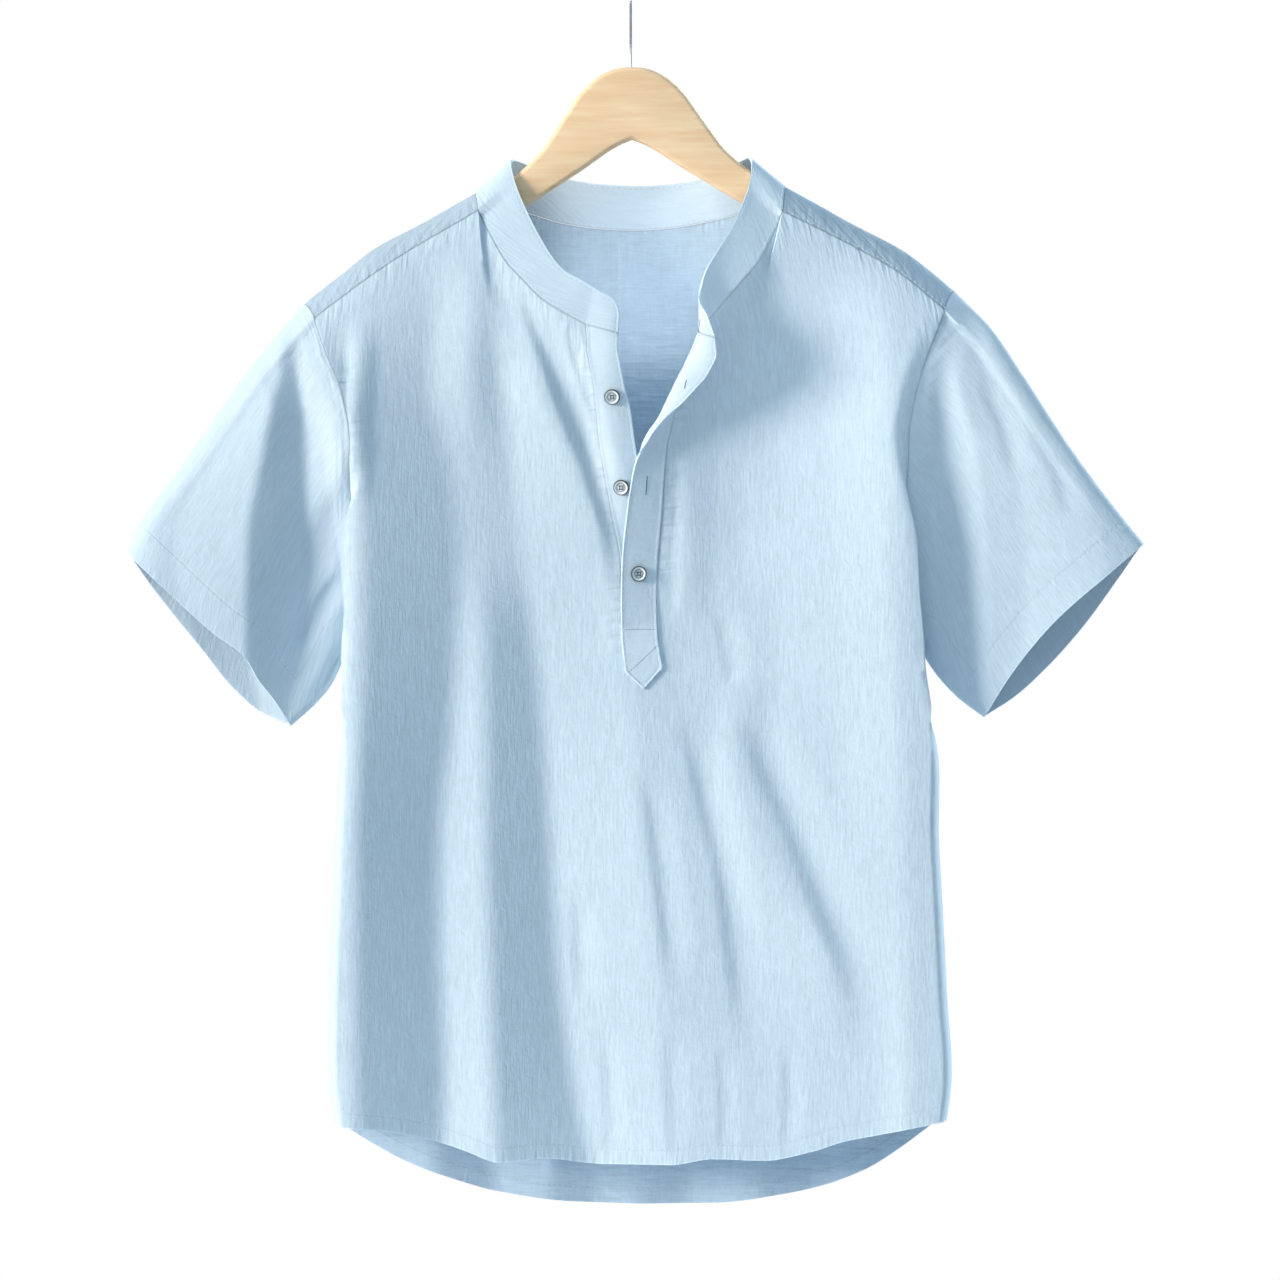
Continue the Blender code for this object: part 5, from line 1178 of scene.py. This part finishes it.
# ---------------------------------------------------------------------------
# Topstitching in pale blue thread, along the hems, the shoulder seams, the edges of
# the band and the placket, and down the pleats inside the back. Every stitch is a
# short thread lying in the cloth; the machine set them a little unevenly.
THREAD = 0.24
# Spacing, length and thickness of the stitches: rows, the bar across the placket with the
# row in its point, and buttonholes.
TOPSTITCH = (4.2, 2.4, THREAD)
BAR_STITCH = (1.9, 1.8, 0.34)
HOLE_STITCH = (1.2, 1.4, 0.42)
TUCKS = [((-8.7, -191), (-8.7, -350)), ((11.0, -191), (11.0, -212)), ((-6.2, -191), (-6.2, -212))]
TOWER_LINES = [((-3.4, -493), (18.8, -493)), ((-1.0, -525), (19.6, -505.5))]


def turned(grid, edge):
    """The grid with another of its edges as its first row, and the same face outwards."""
    return {"first row": grid, "last row": grid[::-1, ::-1],
            "first column": grid.transpose(1, 0, 2)[:, ::-1],
            "last column": grid.transpose(1, 0, 2)[::-1]}[edge]


def inset(grid, edge, away, lift):
    """A line at this distance from one edge of a grid, lifted off its outer face."""
    grid = turned(grid, edge)
    run = runs(grid, 0)
    line, ahead = np.empty((grid.shape[1], 3)), np.empty((grid.shape[1], 3))
    for c in range(grid.shape[1]):
        for k in range(3):
            line[c, k] = np.interp(away, run[:, c], grid[:, c, k])
            ahead[c, k] = np.interp(away + 1, run[:, c], grid[:, c, k])
    normal = np.cross(np.gradient(line, axis=0), ahead - line)
    normal /= np.maximum(np.linalg.norm(normal, axis=1), 1e-9)[:, None]
    return line + normal * lift


def seat_on(grid, x, z, lift):
    """Point and outward direction at x, z on a grid, lifted off its surface."""
    middles = (grid[:-1, :-1] + grid[1:, 1:] + grid[:-1, 1:] + grid[1:, :-1]) / 4
    away = np.hypot(middles[..., 0] - x, middles[..., 2] - z)
    r, c = np.unravel_index(np.argmin(away), away.shape)
    normal = np.cross(grid[r + 1, c + 1] - grid[r, c], grid[r + 1, c] - grid[r, c + 1])
    normal = normal / np.linalg.norm(normal)
    middle = middles[r, c]
    y = middle[1] - (normal[0] * (x - middle[0]) + normal[2] * (z - middle[2])) / normal[1]
    return np.array((x, y, z)) + normal * lift, normal


def laid_on(grid, ends, lift):
    """A straight line between two places x, z, laid on a grid."""
    (ax, az), (bx, bz) = ends
    count = int(math.hypot(bx - ax, bz - az) / 2) + 2
    return np.array([seat_on(grid, ax + (bx - ax) * t, az + (bz - az) * t, lift)[0]
                     for t in np.linspace(0, 1, count)])


def between(tree, value, low, high, stops=(0.0, 1.0)):
    """A colour between two, as a value goes from the first stop to the second."""
    ramp = made(tree, "ShaderNodeValToRGB", {"Fac": value})
    for element, stop, colour in zip(ramp.color_ramp.elements, stops, (low, high)):
        element.position = stop
        element.color = (*colour, 1)
    return ramp.outputs["Color"]


def thread_material(name, low, high):
    """Twisted sewing thread, mottled between two colours."""
    finish, tree, shader = new_material(name, 0.7)
    place = made(tree, "ShaderNodeTexCoord")
    twist = made(tree, "ShaderNodeTexNoise", {"Vector": place.outputs["Object"], "Scale": 900})
    tree.links.new(between(tree, twist.outputs[0], low, high), shader.inputs["Base Color"])
    return finish


thread = thread_material("sewing thread", (0.66, 0.80, 0.92), (0.88, 0.95, 1.0))
# Painted shade: a darker copy of the thread for the bar across the placket and the row in its point,
# standing for the shade along the bar's fold.
bar_thread_painted_shade = thread_material("thread with painted bar shade", (0.20, 0.32, 0.42), (0.36, 0.50, 0.62))
# Near black thread, for the buttons and for the buttonholes, where it paints the shade in the slit.
dark_thread_and_slit_shade = thread_material("dark thread", (0.03, 0.06, 0.09), (0.10, 0.16, 0.21))

STITCH_SIZES = ("Spacing", "Length", "Thickness")
topstitch = bpy.data.node_groups.new("topstitch", "GeometryNodeTree")
tree = topstitch
sizes = {}
tree.interface.new_socket("Lines", in_out="INPUT", socket_type="NodeSocketGeometry")
for key, value in zip(STITCH_SIZES, TOPSTITCH):
    socket = tree.interface.new_socket(key, in_out="INPUT", socket_type="NodeSocketFloat")
    socket.default_value = value * MM
    sizes[key] = socket.identifier
socket = tree.interface.new_socket("Thread", in_out="INPUT", socket_type="NodeSocketMaterial")
sizes["Thread"] = socket.identifier
tree.interface.new_socket("Stitches", in_out="OUTPUT", socket_type="NodeSocketGeometry")
given = made(tree, "NodeGroupInput").outputs
row = made(tree, "GeometryNodeMeshToCurve", {"Mesh": given["Lines"]})
spots = made(tree, "GeometryNodeCurveToPoints", {"Curve": row.outputs[0], "Length": given["Spacing"]},
             mode="LENGTH")
aligned = made(tree, "FunctionNodeAlignRotationToVector", {"Vector": spots.outputs["Tangent"]},
               axis="Z")
half = made(tree, "ShaderNodeMath", {0: given["Length"], 1: 0.5}, operation="MULTIPLY")
size = made(tree, "ShaderNodeCombineXYZ", {"X": given["Thickness"], "Y": given["Thickness"],
                                           "Z": half.outputs[0]})
bead = made(tree, "GeometryNodeMeshUVSphere", {"Segments": 6, "Rings": 4, "Radius": 1.0})
one = made(tree, "GeometryNodeTransform", {"Geometry": bead.outputs["Mesh"],
                                           "Scale": size.outputs[0]})
uneven = made(tree, "FunctionNodeRandomValue", data_type="FLOAT_VECTOR")
uneven.inputs["Min"].default_value = (0.85, 0.85, 0.75)
uneven.inputs["Max"].default_value = (1.1, 1.1, 1.1)
uneven.inputs["Seed"].default_value = 7
instances = made(tree, "GeometryNodeInstanceOnPoints",
                 {"Points": spots.outputs["Points"], "Instance": one.outputs[0],
                  "Rotation": aligned.outputs[0], "Scale": uneven.outputs["Value"]})
real = made(tree, "GeometryNodeRealizeInstances", {"Geometry": instances.outputs[0]})
soft = made(tree, "GeometryNodeSetShadeSmooth", {"Geometry": real.outputs[0]})
coloured = made(tree, "GeometryNodeSetMaterial", {"Geometry": soft.outputs[0],
                                                  "Material": given["Thread"]})
made(tree, "NodeGroupOutput", {"Stitches": coloured.outputs[0]})


def settle(obj, *spares):
    """Apply an object's modifiers and its place, and clear it away with its spare objects."""
    seen = obj.evaluated_get(bpy.context.evaluated_depsgraph_get())
    mesh = bpy.data.meshes.new_from_object(seen)
    mesh.transform(obj.matrix_world)
    for spare in (obj, *spares):
        bpy.data.objects.remove(spare, do_unlink=True)
    return mesh


def stitched(name, lines, finish, stitch):
    """Rows of stitches along lines of points, as one piece."""
    corners = np.concatenate(lines)
    ends = np.cumsum([len(line) for line in lines])
    pairs = [(k, k + 1) for k in range(len(corners) - 1) if k + 1 not in ends]
    mesh = bpy.data.meshes.new(name)
    mesh.from_pydata((corners * MM).tolist(), pairs, [])
    blank = placed("blank", mesh)
    sewing = blank.modifiers.new("topstitch", "NODES")
    sewing.node_group = topstitch
    for key, value in zip(STITCH_SIZES, stitch):
        sewing[sizes[key]] = value * MM
    sewing[sizes["Thread"]] = finish
    row = placed(name, settle(blank))
    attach(row, "root")
    return row


OUT, IN = 1, -1
# Each buttonhole: grid, its ends as x, z, and its face. Its near black stitches paint the
# shade in the slit.
BUTTONHOLES = [(placket_over, ((12.2, -378), (11.2, -391)), OUT),
               (placket_over, ((42.0, -306.5), (40.6, -311.5)), IN),
               (collar_band, ((52.6, -261.5), (51.6, -270.5)), IN)]
# Each row of stitches: grid of the piece, its edge, distance from it, and the faces it shows on.
ROWS = {
    "front": [(lower_grid, "first row", BODY_STITCH, (OUT,))],
    "back": [(back_lower_grid, "first row", BODY_STITCH, (OUT, IN)),
             (wrap_left[:, ::-1], "last row", 2.0, (OUT,)), (wrap_right, "last row", 2.0, (OUT,))],
    "sleeve_left": [(sleeve_left[0], "last column", SLEEVE_STITCH, (OUT,)),
                    (sleeve_left[1][:, ::-1], "first column", SLEEVE_STITCH, (OUT, IN))],
    "sleeve_right": [(sleeve_right[0][:, ::-1], "first column", SLEEVE_STITCH, (OUT,)),
                     (sleeve_right[1], "last column", SLEEVE_STITCH, (OUT, IN))],
    "collar_band": [(collar_band, "first row", STRIP_STITCH, (OUT, IN)),
                    (collar_band, "last row", STRIP_STITCH, (OUT, IN))],
    "placket_under": [(placket_under, "first column", STRIP_STITCH, (OUT,)),
                      (placket_under, "last column", STRIP_STITCH, (OUT,))],
    "placket_over": [(placket_over, "first column", STRIP_STITCH, (OUT, IN)),
                     (placket_over, "last column", STRIP_STITCH, (OUT,)),
                     (placket_over, "first row", STRIP_STITCH, (OUT,))]}
for name, (finish, wall, hem_width, hem_wall, edge_roll, flat, area, rests_on) in CUTS.items():
    lines = []
    for grid, edge, away, shown in ROWS[name]:
        for face in shown:
            depth = wall / 2 + (hem_wall if face == IN else 0)
            lines.append(inset(grid, edge, away, face * (depth + THREAD / 3)))
    if name == "back":
        lines += [laid_on(back_upper_grid, ends, -(wall / 2 + THREAD / 3)) for ends in TUCKS]
    with_it = [stitched(f"stitches_{name}", lines, thread, TOPSTITCH)]
    if name == "placket_over":
        # The bar and the row in the point are sewn in the thread with painted shade.
        lines = [laid_on(placket_over, ends, wall / 2) for ends in TOWER_LINES]
        with_it.append(stitched("stitches_bar", lines, bar_thread_painted_shade, BAR_STITCH))
        # Painted shade: the buttonholes are dense near black stitches that stand for the dark slit.
        lines = [laid_on(hole_grid, ends, face * (wall / 2 + THREAD / 2))
                 for hole_grid, ends, face in BUTTONHOLES]
        with_it.append(stitched("stitches_buttonholes", lines, dark_thread_and_slit_shade, HOLE_STITCH))


# ---------------------------------------------------------------------------
# Three pearly buttons with four holes, sewn on with dark thread, with shade painted into
# their colour. The upper two lie on the under strip, the third holds the over strip closed.
BUTTON_RADIUS = 6.0
BUTTON_THICK = 2.3
BUTTON_LIFT = 0.15       # off the strip
BUTTON_FLOOR = 0.62      # height of the middle within the raised edge, as a share
HOLE_RADIUS = 0.75
HOLE_AWAY = 1.7
HOLE_SIDE = 0.71         # of that, from the middle to the line through two holes
HOLES = 4
HOLE_SIDES = 20
ROUND_SIDES = 64
SEWING_STITCH = (0.8, 1.1, 0.32)
SHARP_EDGE = math.radians(35)
PEARL_GREY = (0.74, 0.84, 0.87)
PEARL_WHITE = (0.93, 0.97, 0.98)
# Painted shade from the middle out, a little in the sunk middle and most in the groove
# inside the raised edge and round the outline, where a contact shadow falls: share of the
# radius, tone.
BUTTON_PAINTED_SHADE = ((0.0, 0.72), (0.42, 0.84), (0.49, 0.30), (0.56, 0.42), (0.63, 1.0), (0.80, 1.0),
                (0.88, 0.08))
BUTTON_PLACES = [(-13.9, -318.0, placket_under), (-6.9, -385.7, placket_under),
                 (5.7, -451.0, placket_over)]
# Section from the middle of the underside round to that of the face: shares of the radius
# and of the thickness.
BUTTON_OUTLINE = [(0.0, 0.0), (0.8, 0.0), (0.95, 0.15), (1.0, 0.45), (0.985, 0.75), (0.93, 0.95),
                  (0.86, 1.0), (0.76, 0.94), (0.69, 0.66), (0.62, 0.50), (0.55, 0.55),
                  (0.48, 0.63), (0.0, BUTTON_FLOOR)]


def plain_mesh(shape, name):
    """Turn a drawn shape into a mesh with its faces outwards."""
    bmesh.ops.recalc_face_normals(shape, faces=shape.faces)
    mesh = bpy.data.meshes.new(name)
    shape.to_mesh(mesh)
    shape.free()
    return mesh


def bored(blank, radius, depth, place, sides):
    """Bore a round upright hole; the drill is given back, to be cleared away later."""
    bpy.ops.mesh.primitive_cylinder_add(vertices=sides, radius=radius * MM, depth=depth * MM,
                                        location=place)
    drill = bpy.context.object
    cut = blank.modifiers.new("hole", "BOOLEAN")
    cut.operation = "DIFFERENCE"
    cut.solver = "EXACT"
    cut.object = drill
    return drill


def add(name, mesh, finish):
    """Place a finished mesh in the scene."""
    mesh.materials.clear()
    mesh.materials.append(finish)
    return placed(name, mesh)


resin, tree, shader = new_material("pearly button", 0.3)
place = made(tree, "ShaderNodeTexCoord")
clouds = made(tree, "ShaderNodeTexNoise", {"Vector": place.outputs["Object"], "Scale": 180})
pearl = between(tree, clouds.outputs[0], PEARL_GREY, PEARL_WHITE)
from_middle = made(tree, "ShaderNodeAttribute", attribute_name="radius")
ring_shade = made(tree, "ShaderNodeValToRGB", {"Fac": from_middle.outputs["Fac"]})
for stop, (where, tone) in enumerate(BUTTON_PAINTED_SHADE):
    if stop > 1:
        ring_shade.color_ramp.elements.new(where)
    ring_shade.color_ramp.elements[stop].position = where
    ring_shade.color_ramp.elements[stop].color = (tone, tone, tone, 1)
# Painted shade: the pearl's colour is darkened by the ramp of shade above.
pearl_with_painted_shade = made(tree, "ShaderNodeVectorMath", {0: pearl, 1: ring_shade.outputs["Color"]},
            operation="MULTIPLY")
tree.links.new(pearl_with_painted_shade.outputs[0], shader.inputs["Base Color"])
loops = []
for number, (x, z, strip) in enumerate(BUTTON_PLACES, start=1):
    seat, direction = seat_on(strip, x, z, PLACKET_WALL / 2)
    shape = bmesh.new()
    corners = [shape.verts.new((r * BUTTON_RADIUS * MM, 0, h * BUTTON_THICK * MM))
               for r, h in BUTTON_OUTLINE]
    edges = [shape.edges.new(pair) for pair in zip(corners[:-1], corners[1:])]
    bmesh.ops.spin(shape, geom=corners + edges, cent=(0, 0, 0), axis=(0, 0, 1),
                   angle=math.tau, steps=ROUND_SIDES, use_merge=True)
    bmesh.ops.remove_doubles(shape, verts=shape.verts, dist=1e-6)
    blank = placed("blank", plain_mesh(shape, "button"))
    drills = []
    for k in range(HOLES):
        turn = math.tau * (k + 0.5) / HOLES
        spot = (HOLE_AWAY * MM * math.cos(turn), HOLE_AWAY * MM * math.sin(turn), 0)
        drills.append(bored(blank, HOLE_RADIUS, 3 * BUTTON_THICK, spot, HOLE_SIDES))
    across = np.cross((0, 0, 1), direction)
    across = across / np.linalg.norm(across)
    upward = np.cross(direction, across)
    spot = (seat + direction * BUTTON_LIFT) * MM
    top = seat + direction * (BUTTON_LIFT + BUTTON_THICK * BUTTON_FLOOR + THREAD / 2)
    for side in (-1, 1):
        for run_x, run_z in ((1, 0), (0, 1)):
            middle = top + (across * run_z + upward * run_x) * side * HOLE_AWAY * HOLE_SIDE
            reach = (across * run_x + upward * run_z) * HOLE_AWAY * HOLE_SIDE
            loops.append(np.array([middle - reach, middle + reach]))
    mesh = settle(blank, *drills)
    radius = mesh.attributes.new("radius", "FLOAT", "POINT")
    radius.data.foreach_set("value", [min(v.co.xy.length / (BUTTON_RADIUS * MM), 0.999)
                                      for v in mesh.vertices])
    rows = [(across[k], upward[k], direction[k], spot[k]) for k in range(3)]
    mesh.transform(Matrix((*rows, (0, 0, 0, 1))))
    mesh.shade_smooth()
    mesh.set_sharp_from_angle(angle=SHARP_EDGE)
    button = add(f"pearly_button_{number}", mesh, resin)
    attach(button, "root")
    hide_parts(f"button_{number}")
stitched("button_threads", loops, dark_thread_and_slit_shade, SEWING_STITCH)


# ---------------------------------------------------------------------------
# Hanger, cut from one flat piece of pale wood with rounded edges. It hangs a
# little tilted, and its hook is screwed into a hole in the top.
HANGER_THICK = 12.0
HANGER_ROUND = 3.6
HANGER_TILT = math.radians(1.1)
# Upper edge from the middle out, and under edge from the end in: x, z.
HANGER_TOP = [(0, -67.6), (12, -68.9), (22, -73), (30, -78.5), (36, -84), (42, -91),
              (47.5, -99), (59, -116), (69.5, -130.5), (78, -139), (87, -146.2),
              (102, -156.2), (118, -166.2), (135, -176.4), (163, -192.6), (195, -210),
              (209, -219.5)]
HANGER_UNDER = [(209, -236), (195, -229.5), (163, -213.5), (118, -192), (81, -171.2),
                (40, -145.8), (6, -124.6), (0, -122.4)]
HANGER_END = (214.5, -227.0)
TOP_POINTS = 90
UNDER_POINTS = 60
BORE_SIDES = 24
WIRE_RADIUS = 0.9
SHANK_DEPTH = 15.0
SHANK_CLEAR = 0.35
WOOD_DARK = (0.90, 0.60, 0.34)
WOOD_PALE = (0.99, 0.73, 0.46)
hanger_top = along(HANGER_TOP, np.linspace(0, 1, TOP_POINTS))
hanger_under = along(HANGER_UNDER, np.linspace(0, 1, UNDER_POINTS))
half_outline = np.concatenate((hanger_top, [HANGER_END], hanger_under))
outline = np.concatenate((half_outline, half_outline[1:-1][::-1] * (-1, 1)))
c, s = math.cos(HANGER_TILT), math.sin(HANGER_TILT)
crown = (0, HANGER_TOP[0][1])
outline = (outline - crown) @ np.array(((c, s), (-s, c))) + crown
shape = bmesh.new()
corners = [shape.verts.new((x * MM, -HANGER_THICK / 2 * MM, z * MM)) for x, z in outline]
face = shape.faces.new(corners)
grown = bmesh.ops.extrude_face_region(shape, geom=[face])
moved = [item for item in grown["geom"] if isinstance(item, bmesh.types.BMVert)]
bmesh.ops.translate(shape, verts=moved, vec=(0, HANGER_THICK * MM, 0))
blank = placed("blank", plain_mesh(shape, "hanger"))
bevel = blank.modifiers.new("rounded edges", "BEVEL")
bevel.width = HANGER_ROUND * MM
bevel.segments = 6
bevel.limit_method = "ANGLE"
bevel.angle_limit = math.radians(70)
drill = bored(blank, WIRE_RADIUS + SHANK_CLEAR, 2 * (SHANK_DEPTH + SHANK_CLEAR),
              (0, 0, HANGER_TOP[0][1] * MM), BORE_SIDES)
mesh = settle(blank, drill)
mesh.shade_smooth()
mesh.set_sharp_from_angle(angle=SHARP_EDGE)

wood, tree, shader = new_material("pale wood", 0.55)
place = made(tree, "ShaderNodeTexCoord")
drawn_out = made(tree, "ShaderNodeVectorMath", {0: place.outputs["Object"], 1: (6, 60, 60)},
                 operation="MULTIPLY")
grain = made(tree, "ShaderNodeTexNoise",
             {"Vector": drawn_out.outputs[0], "Scale": 4.0, "Detail": 4.0})
tree.links.new(between(tree, grain.outputs[0], WOOD_DARK, WOOD_PALE, (0.3, 0.7)),
               shader.inputs["Base Color"])
hanger = add("wooden_hanger", mesh, wood)
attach(hanger, "root")
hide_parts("hanger")


# ---------------------------------------------------------------------------
# Hook of steel wire, seen edge-on: its bends lie in the plane from front to back.
# Its shank goes into the top of the hanger, and its round inside lies on a rail.
HOOK_RADIUS = 19.0
HOOK_TURN = (190, -25)   # degrees round the hook, from the shank's side to its open end
HOOK_POINTS = 20
WIRE_POINTS = 160
# The wire from below the hanger's top to the round part: y, z.
HOOK_LEAD = [(0, -66), (0, -56), (-1.2, -48.5), (-6, -41), (-12.5, -34), (-16.8, -27)]
centre = WIRE_RADIUS - HOOK_RADIUS
foot = HANGER_TOP[0][1] - SHANK_DEPTH
turns = np.radians(np.linspace(*HOOK_TURN, HOOK_POINTS))
crook = [(HOOK_RADIUS * math.cos(a), centre + HOOK_RADIUS * math.sin(a)) for a in turns]
route = along([(0, foot)] + HOOK_LEAD + crook, np.linspace(0, 1, WIRE_POINTS))
curve = bpy.data.curves.new("hook", "CURVE")
curve.dimensions = "3D"
curve.bevel_depth = WIRE_RADIUS * MM
curve.bevel_resolution = 5
curve.use_fill_caps = True
line = curve.splines.new("POLY")
line.points.add(len(route) - 1)
for point, (y, z) in zip(line.points, route):
    point.co = (0, y * MM, z * MM, 1)
mesh = settle(placed("blank", curve))
mesh.shade_smooth()
steel, tree, shader = new_material("steel wire", 0.35)
shader.inputs["Metallic"].default_value = 1.0
shader.inputs["Base Color"].default_value = (0.42, 0.43, 0.45, 1)
place = made(tree, "ShaderNodeTexCoord")
smudge = made(tree, "ShaderNodeTexNoise", {"Vector": place.outputs["Object"], "Scale": 400})
rough = spread(tree, smudge.outputs[0], 0.0, 1.0)
rough.node.inputs["To Min"].default_value = 0.25
rough.node.inputs["To Max"].default_value = 0.45
tree.links.new(rough, shader.inputs["Roughness"])
hook = add("wire_hook", mesh, steel)
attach(hook, "root")
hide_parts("hook")


# ---------------------------------------------------------------------------
# Floor, white surroundings and the light: a wide soft sun from the left, which
# nearly grazes the shirt, and even light from all round.
FLOOR_RADIUS = 2.2       # metres
FLOOR_HEIGHT = -1.5
bpy.context.scene.view_settings.view_transform = "Standard"
bpy.ops.mesh.primitive_circle_add(vertices=96, radius=FLOOR_RADIUS, fill_type="NGON",
                                  location=(0, 0, FLOOR_HEIGHT))
floor = bpy.context.object
floor.name = "floor"
pale, tree, shader = new_material("pale floor", 0.9)
shader.inputs["Base Color"].default_value = (0.8, 0.8, 0.8, 1)
floor.data.materials.append(pale)


def lamp(name, kind, strength, colour):
    """A lamp of one kind, put in the scene."""
    data = bpy.data.lights.new(name, kind)
    data.energy = strength
    data.color = colour
    return placed(name, data)


# Each light: how far round to the left of the camera, how far up, strength, size, colour.
LIGHTS = {"sun": (69, 10, 4.1, 18, (1.0, 0.90, 0.805)),
          "soft sun": (50, 14, 0.60, 85, (0.72, 0.90, 1.0)),
          "front light": (-15, 6, 0.12, 50, (0.45, 0.75, 1.0)),
          "top light": (-10, 68, 1.0, 50, (0.74, 0.90, 1.0)),
          "floor light": (0, -48, 0.36, 50, (0.66, 0.86, 1.0)),
          "rim light": (-100, 8, 1.3, 40, (0.75, 0.90, 1.0)),
          "back light": (-138, 25, 2.4, 25, (0.92, 0.97, 1.0))}
for name, (around, above, strength, width, colour) in LIGHTS.items():
    around, above = math.radians(around), math.radians(above)
    light = lamp(name, "SUN", strength, colour)
    light.data.angle = math.radians(width)
    towards = Vector((-math.sin(around) * math.cos(above), -math.cos(around) * math.cos(above),
                      math.sin(above)))
    light.rotation_euler = towards.to_track_quat("Z", "Y").to_euler()
# Soft light close to the cloth, inside the collar and on the shaded side of the chest, as
# the pale walls of a studio give it: place, width and height in metres, energy, colour.
GLOWS = {"collar light": ((0.004, 0.008, -0.216), (0.12, 0.15), 0.040, (1.0, 0.95, 0.92)),
         "chest light": ((0.165, -0.210, -0.300), (0.10, 0.14), 0.074, (1.0, 0.96, 0.92))}
for name, (spot, size, strength, colour) in GLOWS.items():
    glow = lamp(name, "AREA", strength, colour)
    glow.data.shape = "RECTANGLE"
    glow.data.size, glow.data.size_y = size
    glow.location = spot
    glow.rotation_euler = LEVEL
    glow.visible_camera = False

world = bpy.data.worlds.new("surroundings")
bpy.context.scene.world = world
world.use_nodes = True
tree = world.node_tree
seen = tree.nodes["Background"]
seen.inputs["Color"].default_value = (1, 1, 1, 1)
lit = made(tree, "ShaderNodeBackground", {"Color": (0.42, 0.71, 1.0, 1), "Strength": 0.18})
path = made(tree, "ShaderNodeLightPath")
mix = made(tree, "ShaderNodeMixShader", {"Fac": path.outputs["Is Camera Ray"],
                                         1: lit.outputs[0], 2: seen.outputs[0]})
tree.links.new(mix.outputs[0], tree.nodes["World Output"].inputs["Surface"])
